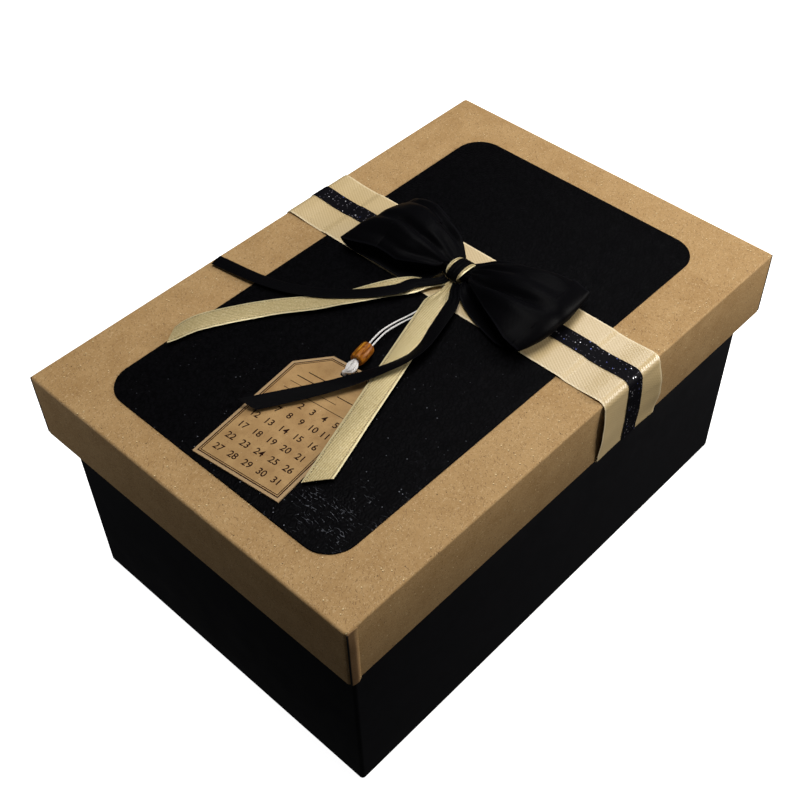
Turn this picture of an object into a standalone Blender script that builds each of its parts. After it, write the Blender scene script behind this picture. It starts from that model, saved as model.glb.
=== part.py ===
"""Ribboned two-piece gift box: rigid base, lift-off lid, satin bands, bow, ribbon tails and a calendar tag.

Frame: the origin is the centre of the base's underside, +Z is up, +X runs along the box's long side.
Lengths below are millimetres; MM turns them into metres where a mesh is made.
"""
import math

import bmesh
import bpy
from mathutils import Matrix, Vector

MM = 0.001

# Driving dimensions of the box.
LID_LENGTH = 280.0
LID_WIDTH = 190.0
LID_SKIRT = 35.5
TOTAL_HEIGHT = 132.0
BASE_LENGTH = 266.0
BASE_WIDTH = 178.0

# Wall build-up of a wrapped rigid box, from the outside in.
WRAP = 0.35
GLUE_GAP = 0.10
STAY = 0.15
BOARD = 1.6
LINER = 0.25
TURN_IN = 15.0
STAY_ARM = 12.0
CORNER_RADIUS = 1.8
EDGE_RADIUS = 1.2
CORNER_STEPS = 4

STAY_INSET = WRAP + GLUE_GAP
BOARD_INSET = STAY_INSET + STAY + GLUE_GAP
LINING_INSET = BOARD_INSET + BOARD + GLUE_GAP
WALL = LINING_INSET + WRAP
FLOOR_BOARD = WRAP + GLUE_GAP
FLOOR_LINER = FLOOR_BOARD + BOARD + GLUE_GAP
FLOOR = FLOOR_LINER + LINER

LID_TOP = TOTAL_HEIGHT
LID_MOUTH = TOTAL_HEIGHT - LID_SKIRT
BASE_RIM = LID_TOP - FLOOR - GLUE_GAP

# Leather-look panel on the lid.
PANEL_LENGTH = 241.6
PANEL_WIDTH = 138.0
PANEL_CENTRE = (-2.3, -1.0)
PANEL_CORNER = 14.0
PANEL_BOTTOM = GLUE_GAP
PANEL_TOP = 0.6

# Ribbons.
WIDE_BAND_X = 29.8
WIDE_BAND_WIDTH = 39.0
WIDE_BAND = 0.35
NARROW_BAND_X = 31.5
NARROW_BAND_WIDTH = 9.3
NARROW_BAND = 0.25
BAND_TUCK = 12.0
BAND_RAMP = 3.0
GOLD_WIDTH = 10.0
GOLD = 0.35
BLACK_WIDTH = 6.4
BLACK = 0.30
BOW_RIBBON = 0.4

# Knot: an upright flattened ring round the bow's waist, with its axis along Y.
KNOT_X = 28.8
KNOT_HEIGHT = 6.1
KNOT_HALF_LENGTH = 6.3
KNOT_HALF_HEIGHT = 3.3
KNOT_STEPS = 28
BOW_WAIST = 8.0
BOW_WAIST_REACH = 6.1
BOW_MID_HEIGHT = 6.2
# Each loop: how much longer it is than the shared profile, and how its edges open behind and in front of the
# knot, as (full half width, distance it takes to open, power of the curve).
LEFT_LOOP = {
    "side": 1,
    "stretch": 1.03,
    "behind": (22.5, 32.0, 0.42),
    "upper_front": (19.0, 20.0, 0.6),
    "lower_front": (19.0, 13.5, 1.0),
}
RIGHT_LOOP = {
    "side": -1,
    "stretch": 1.05,
    "behind": (25.3, 44.0, 0.45),
    "upper_front": (23.5, 42.0, 0.85),
    "lower_front": (23.5, 34.0, 0.55),
}
# The glue dab's foot and crest, as (half length, half width, height above the lid).
GLUE_FOOT = (5.0, 3.6, 1.55)
GLUE_CREST = (4.2, 2.9, 2.05)
GOLD_KNOT_WIDTH = 9.0
BLACK_KNOT_WIDTH = 5.6
TAIL_ROOT_X = 18.5
TAIL_ROOT_WIDTH = 4.6
TAIL_GATHER = 12.0

# Tag, cord and bead.
TAG_HOLE = (-49.7, -3.9)
TAG_ANGLE = math.radians(6.4)
TAG_WIDTH = 45.0
TAG_BODY = 61.9
TAG_POINT = 12.5
TAG_TOP_EDGE = 20.4
TAG_HOLE_DEPTH = 5.5
TAG_HOLE_RADIUS = 1.7
TAG_BOTTOM = 0.8
TAG_CARD = 0.8
CORD_RADIUS = 0.45
CORD_SPACING = 1.3
CORD_SIDES = 8
CORD_STRAIGHT = 9.5
CORD_END = 1.0
HITCH_START = 1.4
HITCH_THICKEST = 1.25
HITCH_THINNEST = 0.55
HITCH_SIDES = 10
HITCH_FLOOR_GAP = 0.2
BEAD_CENTRE = (-38.2, -3.5, 4.6)
BEAD_LENGTH = 10.0
BEAD_RADIUS = 3.4
BEAD_BORE = 1.6
BEAD_BARREL = 0.45
BEAD_SHOULDER = 0.7
BEAD_SHOULDER_DROP = 0.45
BEAD_END_DROP = 1.3
BEAD_ANGLE = math.radians(10.8)
ROUND_STEPS = 20


def above_lid(x, y, height):
    """A point given by its height above the lid's top face."""
    return Vector((x, y, LID_TOP + height))


def material(name, colour, roughness, metallic=0.0):
    finish = bpy.data.materials.new(name)
    finish.use_nodes = True
    shader = finish.node_tree.nodes["Principled BSDF"]
    shader.inputs["Base Color"].default_value = (*colour, 1.0)
    shader.inputs["Roughness"].default_value = roughness
    shader.inputs["Metallic"].default_value = metallic
    finish.diffuse_color = (*colour, 1.0)
    return finish


def solid(name, rings, finish, closed=False, origin=None, parent=None):
    """One closed body lofted through rings of equal point count, capped at both ends unless it is closed."""
    pivot = Vector(origin) if origin is not None else Vector((0.0, 0.0, 0.0))
    mesh_builder = bmesh.new()
    vertex_rings = [[mesh_builder.verts.new((point - pivot) * MM) for point in ring] for ring in rings]
    count = len(vertex_rings[0])
    pairs = list(zip(vertex_rings, vertex_rings[1:]))
    if closed:
        pairs.append((vertex_rings[-1], vertex_rings[0]))
    for lower, upper in pairs:
        for i in range(count):
            j = (i + 1) % count
            mesh_builder.faces.new((lower[i], lower[j], upper[j], upper[i]))
    if not closed:
        mesh_builder.faces.new(vertex_rings[0])
        mesh_builder.faces.new(vertex_rings[-1])
    bmesh.ops.recalc_face_normals(mesh_builder, faces=mesh_builder.faces)
    mesh = bpy.data.meshes.new(name)
    mesh_builder.to_mesh(mesh)
    mesh_builder.free()
    mesh.materials.append(finish)
    mesh.shade_smooth()
    mesh.set_sharp_from_angle(angle=math.radians(30))
    thing = bpy.data.objects.new(name, mesh)
    bpy.context.scene.collection.objects.link(thing)
    if parent is None:
        thing.location = pivot * MM
    else:
        thing.parent = parent
    return thing


def pivot_empty(name, position, angle=0.0):
    """An empty on a joint's axis that carries the moving piece."""
    empty = bpy.data.objects.new(name, None)
    empty.location = Vector(position) * MM
    empty.rotation_euler = (0.0, 0.0, angle)
    bpy.context.scene.collection.objects.link(empty)
    return empty


def rounded_rectangle(length, width, radius, z, centre=(0.0, 0.0)):
    """Anticlockwise outline of a rectangle with rounded corners at one height."""
    points = []
    for quarter, (side_x, side_y) in enumerate(((1, 1), (-1, 1), (-1, -1), (1, -1))):
        for step in range(CORNER_STEPS + 1):
            angle = math.pi / 2 * (quarter + step / CORNER_STEPS)
            points.append(Vector((
                centre[0] + side_x * (length / 2 - radius) + radius * math.cos(angle),
                centre[1] + side_y * (width / 2 - radius) + radius * math.sin(angle),
                z,
            )))
    return points


def box_ring(length, width, inset, z):
    """The box's outline moved inwards by an inset."""
    return rounded_rectangle(length - 2 * inset, width - 2 * inset, max(CORNER_RADIUS - inset, 0.2), z)


# ---------------------------------------------------------------- rigid box


def edge_rings(length, width, face_z, direction):
    """Rounds the closed face of a wrapped box into its walls; direction is +1 when the walls run down."""
    rings = []
    for step in range(3):
        angle = math.pi / 2 * step / 2
        inset = EDGE_RADIUS * (1 - math.sin(angle))
        z = face_z - direction * EDGE_RADIUS * (1 - math.cos(angle))
        rings.append(box_ring(length, width, inset, z))
    return rings


def wrap_rings(length, width, face_z, mouth_z):
    """Covering paper: closed face, outer walls, a fold over the mouth and a turn-in glued inside."""
    direction = 1 if face_z > mouth_z else -1
    rings = edge_rings(length, width, face_z, direction)
    fold = 0.3
    rings.append(box_ring(length, width, 0.0, mouth_z + direction * fold))
    rings.append(box_ring(length, width, fold, mouth_z))
    rings.append(box_ring(length, width, WALL, mouth_z))
    rings.append(box_ring(length, width, WALL, mouth_z + direction * TURN_IN))
    rings.append(box_ring(length, width, WALL - WRAP, mouth_z + direction * TURN_IN))
    rings.append(box_ring(length, width, WALL - WRAP, mouth_z + direction * WRAP))
    rings.append(box_ring(length, width, WRAP, mouth_z + direction * WRAP))
    rings.append(box_ring(length, width, WRAP, face_z - direction * EDGE_RADIUS))
    rings.append(box_ring(length, width, EDGE_RADIUS, face_z - direction * WRAP))
    return rings


def tray_rings(length, width, inset, thickness, face_z, mouth_z):
    """An open tray: the closed face at face_z, the walls running to mouth_z."""
    direction = 1 if face_z > mouth_z else -1
    bevel = EDGE_RADIUS - inset if inset < EDGE_RADIUS else 0.0
    rings = []
    if bevel > 0:
        rings.append(box_ring(length, width, inset + bevel, face_z))
    rings.append(box_ring(length, width, inset, face_z - direction * bevel))
    rings.append(box_ring(length, width, inset, mouth_z))
    rings.append(box_ring(length, width, inset + thickness, mouth_z))
    rings.append(box_ring(length, width, inset + thickness, face_z - direction * thickness))
    return rings


def corner_stay(name, length, width, corner, low, high, finish):
    """Paper angle glued over one corner of the board before the box is wrapped."""
    side_x, side_y = corner
    rings = []
    for z in (low, high):
        ring = []
        for inset, order in ((STAY_INSET, range(CORNER_STEPS + 1)),
                             (STAY_INSET + STAY, range(CORNER_STEPS, -1, -1))):
            radius = CORNER_RADIUS - inset
            centre_x = length / 2 - inset - radius
            centre_y = width / 2 - inset - radius
            arc = [
                Vector((
                    centre_x + radius * math.cos(math.pi / 2 * step / CORNER_STEPS),
                    centre_y + radius * math.sin(math.pi / 2 * step / CORNER_STEPS),
                    z,
                ))
                for step in order
            ]
            arm_on_x_wall = Vector((length / 2 - inset, width / 2 - STAY_ARM, z))
            arm_on_y_wall = Vector((length / 2 - STAY_ARM, width / 2 - inset, z))
            if inset == STAY_INSET:
                ring += [arm_on_x_wall] + arc + [arm_on_y_wall]
            else:
                ring += [arm_on_y_wall] + arc + [arm_on_x_wall]
        rings.append([Vector((side_x * p.x, side_y * p.y, p.z)) for p in ring])
    return solid(name, rings, finish)


def build_stays(prefix, length, width, low, high, finish):
    corners = {"front_left": (-1, 1), "front_right": (-1, -1), "back_left": (1, 1), "back_right": (1, -1)}
    for place, corner in corners.items():
        corner_stay(f"{prefix}_corner_stay_{place}", length, width, corner, low, high, finish)


def build_base(papers):
    wrap, board, stay, liner = papers
    solid("base_wrap", wrap_rings(BASE_LENGTH, BASE_WIDTH, 0.0, BASE_RIM), wrap)
    board_rim = BASE_RIM - WRAP - GLUE_GAP
    solid("base_board",
          tray_rings(BASE_LENGTH, BASE_WIDTH, BOARD_INSET, BOARD, FLOOR_BOARD, board_rim), board)
    liner_rim = BASE_RIM - TURN_IN - GLUE_GAP
    solid("base_liner",
          tray_rings(BASE_LENGTH, BASE_WIDTH, LINING_INSET, LINER, FLOOR_LINER, liner_rim), liner)
    build_stays("base", BASE_LENGTH, BASE_WIDTH, 3.0, board_rim - 3.0, stay)


def build_lid(papers, leatherette):
    wrap, board, stay, liner = papers
    solid("lid_wrap", wrap_rings(LID_LENGTH, LID_WIDTH, LID_TOP, LID_MOUTH), wrap)
    board_rim = LID_MOUTH + WRAP + GLUE_GAP
    solid("lid_board",
          tray_rings(LID_LENGTH, LID_WIDTH, BOARD_INSET, BOARD, LID_TOP - FLOOR_BOARD, board_rim), board)
    liner_rim = LID_MOUTH + TURN_IN + GLUE_GAP
    solid("lid_liner",
          tray_rings(LID_LENGTH, LID_WIDTH, LINING_INSET, LINER, LID_TOP - FLOOR_LINER, liner_rim), liner)
    build_stays("lid", LID_LENGTH, LID_WIDTH, board_rim + 1.0, LID_TOP - 3.0, stay)
    panel = [
        rounded_rectangle(PANEL_LENGTH, PANEL_WIDTH, PANEL_CORNER, LID_TOP + height, PANEL_CENTRE)
        for height in (PANEL_BOTTOM, PANEL_TOP)
    ]
    solid("lid_panel", panel, leatherette)


# ---------------------------------------------------------------- ribbons


def smooth_path(points, steps):
    """Points along a Catmull-Rom curve through the given ones, with the same number of steps in each span."""
    path = []
    last = len(points) - 1
    for i in range(last):
        before = points[max(i - 1, 0)]
        start = points[i]
        end = points[i + 1]
        after = points[min(i + 2, last)]
        for step in range(steps):
            t = step / steps
            path.append(0.5 * (2 * start + (end - before) * t
                               + (2 * before - 5 * start + 4 * end - after) * t * t
                               + (3 * start - before - 3 * end + after) * t * t * t))
    path.append(points[-1])
    return path


def ribbon_section(centre, across, along, width, thickness):
    """The four corners of a ribbon's cross-section."""
    up = along.cross(across).normalized()
    half_width = across * (width / 2)
    half_thickness = up * (thickness / 2)
    return [
        centre - half_width - half_thickness,
        centre + half_width - half_thickness,
        centre + half_width + half_thickness,
        centre - half_width + half_thickness,
    ]


def directions(path, closed=False):
    """The unit direction of travel at each point of a path."""
    result = []
    last = len(path) - 1
    for i in range(len(path)):
        if closed:
            step = path[(i + 1) % len(path)] - path[i - 1]
        else:
            step = path[min(i + 1, last)] - path[max(i - 1, 0)]
        result.append(step.normalized())
    return result


def band_profile(offset):
    """(y, z) points of a band that hugs the lid from one inner wall, over the top, to the other."""
    half_width = LID_WIDTH / 2
    inner = half_width - WALL - offset
    flat = LID_TOP + offset
    raised = flat + PANEL_TOP
    panel_right = PANEL_CENTRE[1] - PANEL_WIDTH / 2
    panel_left = PANEL_CENTRE[1] + PANEL_WIDTH / 2
    clearance = 1.0

    def side(panel_edge):
        bend = EDGE_RADIUS + offset
        points = [(inner, LID_MOUTH + BAND_TUCK), (inner, LID_MOUTH)]
        points.append((inner + offset * 0.3, LID_MOUTH - offset * 0.7))
        points.append((inner + offset, LID_MOUTH - offset))
        points.append((half_width, LID_MOUTH - offset))
        points.append((half_width + offset * 0.7, LID_MOUTH - offset * 0.7))
        points.append((half_width + offset, LID_MOUTH))
        for step in range(4):
            angle = math.pi / 2 * step / 3
            points.append((half_width - EDGE_RADIUS + bend * math.cos(angle),
                           LID_TOP - EDGE_RADIUS + bend * math.sin(angle)))
        points.append((panel_edge + clearance + BAND_RAMP, flat))
        points.append((panel_edge + clearance, raised))
        return points

    left = side(panel_left)
    right = [(-y, z) for y, z in reversed(side(-panel_right))]
    return left + right


def build_band(name, x, width, thickness, offset, finish):
    path = [Vector((x, y, z)) for y, z in band_profile(offset)]
    across = Vector((1.0, 0.0, 0.0))
    rings = []
    for point, along in zip(path, directions(path)):
        rings.append(ribbon_section(point, across, along, width, thickness))
    return solid(name, rings, finish)


def bow_profile():
    """(y, height) points of one loop's ribbon, from the waist's upper layer round the fold to the lower layer."""
    return [
        (0.0, 7.5), (5.8, 7.9), (13.0, 11.4), (24.0, 14.8), (36.0, 15.4), (46.0, 13.0),
        (51.5, 9.4), (51.0, 5.2), (44.0, 2.7), (30.0, 2.1), (14.0, 2.3), (5.8, 4.5), (0.0, 4.8),
    ]


def half_opening(reach, full, run, power):
    """Half of the gathered waist, opening to a full half width over a run that starts beside the knot."""
    opened = min(max((reach - BOW_WAIST_REACH) / run, 0.0), 1.0)
    return BOW_WAIST / 2 + (full - BOW_WAIST / 2) * opened ** power


def loop_stations(loop):
    """(centre, width) of the ribbon along one loop."""
    profile = [Vector((y * loop["stretch"], height, 0.0)) for y, height in bow_profile()]
    if loop["side"] < 0:
        profile.reverse()
    stations = []
    for point in smooth_path(profile, 2)[:-1]:
        front = loop["upper_front"] if point.y > BOW_MID_HEIGHT else loop["lower_front"]
        behind = half_opening(abs(point.x), *loop["behind"])
        in_front = half_opening(abs(point.x), *front)
        x = KNOT_X + (behind - in_front) / 2
        stations.append((above_lid(x, loop["side"] * point.x, point.y), behind + in_front))
    return stations


def build_bow(finish):
    """A closed ring of ribbon, pinched at its waist into a left and a right loop."""
    stations = loop_stations(LEFT_LOOP) + loop_stations(RIGHT_LOOP)
    path = [centre for centre, _ in stations]
    across = Vector((1.0, 0.0, 0.0))
    rings = []
    for (centre, width), along in zip(stations, directions(path, closed=True)):
        rings.append(ribbon_section(centre, across, along, width, BOW_RIBBON))
    return solid("bow", rings, finish, closed=True)


def build_knot_wrap(name, width, thickness, growth, finish):
    """A ribbon ring round the waist, as an ellipse in the XZ plane."""
    centre = above_lid(KNOT_X, 0.0, KNOT_HEIGHT)
    rings = []
    for step in range(KNOT_STEPS):
        angle = 2 * math.pi * step / KNOT_STEPS
        outward = Vector((math.cos(angle), 0.0, math.sin(angle)))
        ring = []
        for across, level in ((-1, -1), (1, -1), (1, 1), (-1, 1)):
            reach = growth + level * thickness / 2
            ring.append(centre + Vector((
                outward.x * (KNOT_HALF_LENGTH + reach),
                across * width / 2,
                outward.z * (KNOT_HALF_HEIGHT + reach),
            )))
        rings.append(ring)
    return solid(name, rings, finish, closed=True)


def build_glue_pad(finish):
    """A dab of set glue between the narrow band and the knot."""
    rings = []
    for half_length, half_width, height in (GLUE_FOOT, GLUE_CREST):
        ring = []
        for step in range(ROUND_STEPS):
            angle = 2 * math.pi * step / ROUND_STEPS
            ring.append(above_lid(KNOT_X + half_length * math.cos(angle), half_width * math.sin(angle), height))
        rings.append(ring)
    return solid("bow_glue_pad", rings, finish)


def build_tail(name, points, width, thickness, end_skew, finish):
    """A ribbon tail that starts on its hinge at the knot; end_skew slants the cut end."""
    path = smooth_path([above_lid(*point) for point in points], 5)
    travelled = 0.0
    rings = []
    for i, (point, along) in enumerate(zip(path, directions(path))):
        if i > 0:
            travelled += (point - path[i - 1]).length
        level = Vector((along.x, along.y, 0.0)).normalized()
        across = Vector((-level.y, level.x, 0.0))
        gather = min(travelled / TAIL_GATHER, 1.0)
        local_width = TAIL_ROOT_WIDTH + (width - TAIL_ROOT_WIDTH) * gather if width > TAIL_ROOT_WIDTH else width
        ring = ribbon_section(point, across, along, local_width, thickness)
        if i == len(path) - 1:
            slant = along * (end_skew / 2)
            ring = [corner + (slant if k in (1, 2) else -slant) for k, corner in enumerate(ring)]
        rings.append(ring)
    return solid(name, rings, finish, origin=path[0])


def build_tails(gold, black):
    build_tail("gold_tail_front", [
        (TAIL_ROOT_X, -1.5, 3.0), (8.5, -3.9, 3.5), (-5.0, -8.6, 4.1), (-21.4, -14.2, 4.4),
        (-60.0, -26.0, 3.3), (-98.6, -38.2, 2.4),
    ], GOLD_WIDTH, GOLD, -6.0, gold)
    build_tail("black_tail_front", [
        (TAIL_ROOT_X, -5.6, 4.0), (11.5, -10.4, 4.4), (-5.0, -16.0, 4.9), (-17.5, -19.6, 5.2),
        (-27.5, -20.2, 5.6), (-41.0, -16.8, 5.9), (-62.5, -6.2, 4.8), (-91.0, 11.0, 4.5),
    ], BLACK_WIDTH, BLACK, -6.0, black)
    build_tail("gold_tail_left", [
        (TAIL_ROOT_X, 4.5, 3.0), (8.0, 13.0, 3.2), (-1.6, 19.7, 3.0), (-15.0, 27.4, 2.8),
        (-27.0, 35.6, 2.5), (-43.5, 49.0, 2.3), (-68.7, 64.3, 2.1), (-84.0, 68.4, 1.9),
    ], GOLD_WIDTH, GOLD, 8.0, gold)
    build_tail("black_tail_left", [
        (TAIL_ROOT_X, 4.5, 3.9), (10.0, 11.4, 4.1), (1.2, 15.0, 4.0), (-14.0, 27.7, 3.8),
        (-26.0, 45.5, 2.9), (-33.2, 65.7, 2.0), (-37.6, 92.4, 1.4),
    ], BLACK_WIDTH, BLACK, 0.0, black)


# ---------------------------------------------------------------- tag, cord and bead


def build_tag(finish):
    """Card tag with two clipped corners; its empty stands on the swivel axis through the hole."""
    pivot = pivot_empty("tag_pivot", above_lid(*TAG_HOLE, TAG_BOTTOM), TAG_ANGLE)
    shoulder = TAG_HOLE_DEPTH - TAG_POINT
    outline = [
        (TAG_HOLE_DEPTH, TAG_TOP_EDGE / 2), (shoulder, TAG_WIDTH / 2), (shoulder - TAG_BODY, TAG_WIDTH / 2),
        (shoulder - TAG_BODY, -TAG_WIDTH / 2), (shoulder, -TAG_WIDTH / 2), (TAG_HOLE_DEPTH, -TAG_TOP_EDGE / 2),
    ]
    rings = [[Vector((x, y, z)) for x, y in outline] for z in (0.0, TAG_CARD)]
    tag = solid("tag", rings, finish, parent=pivot)
    punch_ring = [
        Vector((TAG_HOLE_RADIUS * math.cos(angle), TAG_HOLE_RADIUS * math.sin(angle), 0.0))
        for angle in (2 * math.pi * step / ROUND_STEPS for step in range(ROUND_STEPS))
    ]
    below = Vector((0.0, 0.0, -1.0))
    above = Vector((0.0, 0.0, TAG_CARD + 1.0))
    punch = solid("tag_punch", [[p + below for p in punch_ring], [p + above for p in punch_ring]],
                  finish, parent=pivot)
    punch.hide_render = True
    punch.display_type = "WIRE"
    cut = tag.modifiers.new("hole", "BOOLEAN")
    cut.operation = "DIFFERENCE"
    cut.object = punch


def bead_direction():
    return Vector((math.cos(BEAD_ANGLE), math.sin(BEAD_ANGLE), 0.0))


def tube(name, path, radius, sides, finish, radii=None):
    """A round bar along a path."""
    rings = []
    for i, (point, along) in enumerate(zip(path, directions(path))):
        level = Vector((along.y, -along.x, 0.0)).normalized()
        up = level.cross(along).normalized()
        size = radii[i] if radii else radius
        rings.append([
            point + level * size * math.cos(angle) + up * size * math.sin(angle)
            for angle in (2 * math.pi * side / sides for side in range(sides))
        ])
    return solid(name, rings, finish, origin=path[0])


def cord_path(shift):
    """From the knot, under the front gold tail, then straight through the bead; shift parts the two strands."""
    centre = above_lid(*BEAD_CENTRE)
    along = bead_direction()
    aside = Vector((-along.y, along.x, 0.0)) * shift
    straight_end = centre - along * (BEAD_LENGTH / 2 + CORD_END)
    straight_start = centre + along * (BEAD_LENGTH / 2 + CORD_STRAIGHT)
    bend = [
        above_lid(TAIL_ROOT_X, -2.4, 2.05), above_lid(8.0, -2.6, 2.05), above_lid(-4.0, -2.1, 2.4),
        above_lid(-13.5, -1.2, 3.6), straight_start,
    ]
    return [point + aside for point in smooth_path(bend, 4)] + [straight_end + aside]


def build_cord(finish):
    tube("cord_strand_left", cord_path(CORD_SPACING / 2), CORD_RADIUS, CORD_SIDES, finish)
    tube("cord_strand_right", cord_path(-CORD_SPACING / 2), CORD_RADIUS, CORD_SIDES, finish)
    start = above_lid(*BEAD_CENTRE) - bead_direction() * (BEAD_LENGTH / 2 + HITCH_START)
    hole = above_lid(*TAG_HOLE, TAG_BOTTOM + HITCH_FLOOR_GAP)
    path = smooth_path([
        start, above_lid(-47.0, -4.4, 3.9), above_lid(-49.4, -4.0, 2.9), hole,
    ], 4)
    radii = []
    for i in range(len(path)):
        share = i / (len(path) - 1)
        swell = math.sin(math.pi * min(share * 1.25, 1.0))
        radii.append(HITCH_THINNEST + (HITCH_THICKEST - HITCH_THINNEST) * swell)
    tube("cord_hitch", path, HITCH_THICKEST, HITCH_SIDES, finish, radii)


def build_bead(finish):
    """Barrel bead with a through bore, turned about the cord's straight run."""
    centre = above_lid(*BEAD_CENTRE)
    half = BEAD_LENGTH / 2
    shoulder = (half - BEAD_SHOULDER, BEAD_RADIUS - BEAD_SHOULDER_DROP)
    right = [(half * BEAD_BARREL, BEAD_RADIUS), shoulder, (half, BEAD_RADIUS - BEAD_END_DROP)]
    barrel = [(-along, radius) for along, radius in reversed(right)] + right
    profile = barrel + [(half, BEAD_BORE), (-half, BEAD_BORE)]
    rings = []
    for step in range(ROUND_STEPS):
        angle = 2 * math.pi * step / ROUND_STEPS
        ring = []
        for along, radius in profile:
            ring.append(Vector((along, radius * math.cos(angle), radius * math.sin(angle))))
        rings.append(ring)
    turned = Matrix.Rotation(BEAD_ANGLE, 3, "Z")
    placed = [[turned @ point + centre for point in ring] for ring in rings]
    return solid("bead", placed, finish, closed=True, origin=centre)


def clear_scene():
    for thing in list(bpy.data.objects):
        bpy.data.objects.remove(thing, do_unlink=True)


def main():
    clear_scene()
    kraft = material("kraft_paper", (0.42, 0.27, 0.13), 0.8)
    black_paper = material("black_paper", (0.006, 0.006, 0.008), 0.55)
    greyboard = material("greyboard", (0.27, 0.26, 0.24), 0.9)
    stay_paper = material("stay_paper", (0.55, 0.45, 0.30), 0.8)
    white_liner = material("liner_paper", (0.75, 0.74, 0.70), 0.7)
    leatherette = material("leatherette", (0.006, 0.006, 0.008), 0.45)
    cream_satin = material("cream_satin", (0.62, 0.47, 0.25), 0.4)
    glitter_satin = material("black_glitter_ribbon", (0.008, 0.008, 0.01), 0.5)
    black_satin = material("black_satin", (0.006, 0.006, 0.008), 0.45)
    gold_satin = material("gold_satin", (0.60, 0.50, 0.27), 0.35, 0.3)
    tag_card = material("tag_card", (0.38, 0.22, 0.10), 0.8)
    cord = material("cord", (0.75, 0.72, 0.68), 0.6)
    wood = material("bead_wood", (0.36, 0.13, 0.03), 0.25)
    glue = material("glue", (0.7, 0.68, 0.6), 0.4)

    build_base((black_paper, greyboard, stay_paper, white_liner))
    build_lid((kraft, greyboard, stay_paper, white_liner), leatherette)
    wide_offset = GLUE_GAP + WIDE_BAND / 2
    build_band("band_wide", WIDE_BAND_X, WIDE_BAND_WIDTH, WIDE_BAND, wide_offset, cream_satin)
    narrow_offset = wide_offset + WIDE_BAND / 2 + GLUE_GAP + NARROW_BAND / 2
    build_band("band_narrow", NARROW_BAND_X, NARROW_BAND_WIDTH, NARROW_BAND, narrow_offset, glitter_satin)
    build_bow(black_satin)
    build_glue_pad(glue)
    build_knot_wrap("gold_knot_wrap", GOLD_KNOT_WIDTH, GOLD, 0.0, gold_satin)
    build_knot_wrap("black_knot_wrap", BLACK_KNOT_WIDTH, BLACK, GOLD / 2 + GLUE_GAP + BLACK / 2, black_satin)
    build_tails(gold_satin, black_satin)
    build_tag(tag_card)
    build_cord(cord)
    build_bead(wood)


main()
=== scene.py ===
"""Looks of the ribboned gift box: paper, leather-look panel, satin ribbons, bow, tag, cord and bead.

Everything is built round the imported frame. Paths are written in millimetres, as (x, y, height above the lid).
"""
import math

import bmesh
import bpy
import numpy as np
from mathutils import Matrix, Vector


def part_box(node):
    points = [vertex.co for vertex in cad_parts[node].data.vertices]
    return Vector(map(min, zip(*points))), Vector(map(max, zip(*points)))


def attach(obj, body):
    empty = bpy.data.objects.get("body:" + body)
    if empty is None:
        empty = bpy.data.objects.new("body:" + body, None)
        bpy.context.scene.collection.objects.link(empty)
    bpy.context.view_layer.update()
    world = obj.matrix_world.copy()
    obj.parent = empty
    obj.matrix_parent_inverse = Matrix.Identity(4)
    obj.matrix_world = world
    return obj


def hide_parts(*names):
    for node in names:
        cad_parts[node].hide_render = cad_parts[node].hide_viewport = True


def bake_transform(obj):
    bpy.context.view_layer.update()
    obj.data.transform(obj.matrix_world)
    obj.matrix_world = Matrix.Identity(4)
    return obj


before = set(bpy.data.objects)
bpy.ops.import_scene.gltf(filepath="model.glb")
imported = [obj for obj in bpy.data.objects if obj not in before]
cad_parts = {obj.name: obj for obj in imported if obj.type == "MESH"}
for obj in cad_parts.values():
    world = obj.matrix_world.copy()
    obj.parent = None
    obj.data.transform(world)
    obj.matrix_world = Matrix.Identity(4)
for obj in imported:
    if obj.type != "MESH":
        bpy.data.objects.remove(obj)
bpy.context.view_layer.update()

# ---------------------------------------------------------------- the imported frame, in metres

MM = 0.001
UP = np.array([0.0, 0.0, 1.0])
LID_LOW, LID_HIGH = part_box("lid_wrap")
BASE_LOW, BASE_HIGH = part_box("base_wrap")
PANEL_LOW, PANEL_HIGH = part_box("lid_panel")
BAND_LOW, BAND_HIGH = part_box("band_wide")
KNOT_LOW, KNOT_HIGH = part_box("gold_knot_wrap")
TAG_LOW, TAG_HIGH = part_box("tag")
LID_TOP = LID_HIGH.z
LID_MOUTH = LID_LOW.z
HALF_LENGTH = LID_HIGH.x
HALF_WIDTH = LID_HIGH.y
BAND_MIDDLE = (BAND_LOW.x + BAND_HIGH.x) / 2
BAND_HALF = (BAND_HIGH.x - BAND_LOW.x) / 2
KNOT = np.array((KNOT_LOW + KNOT_HIGH) / 2)
HINGE_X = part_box("gold_tail_front")[1].x

# ---------------------------------------------------------------- sizes
# Lengths multiplied by MM are in metres, like the frame; the others are in millimetres.

# Box: the wall with its papers, one paper and its turned-in flap, and how round the upright corners and the
# level edges are. A lap is the strip of paper folded round each corner of the lid.
WALL = 2.75 * MM
PAPER = 0.35 * MM
TURN_IN = 15.0 * MM
CORNER = 1.8 * MM
EDGE = 1.2 * MM
LAP_WIDTH = 5.6
LAP_BULGE = 0.80 * MM
LAP_COLUMNS = 14
PANEL_CORNER = 14.0 * MM

# Bands: bend over the lid's edge, gap beside the bend, flap tucked into the lid.
BAND_BEND = 3.4 * MM
BAND_STANDOFF = 0.7 * MM
BAND_TUCK = 12.0 * MM
# How far they stand off the front skirt and slide along it, as terms in the place across them.
BAND_SLACK = (0.9, 0.75, 1.35)
BAND_SLIDE = (1.2, 0.9)

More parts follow.
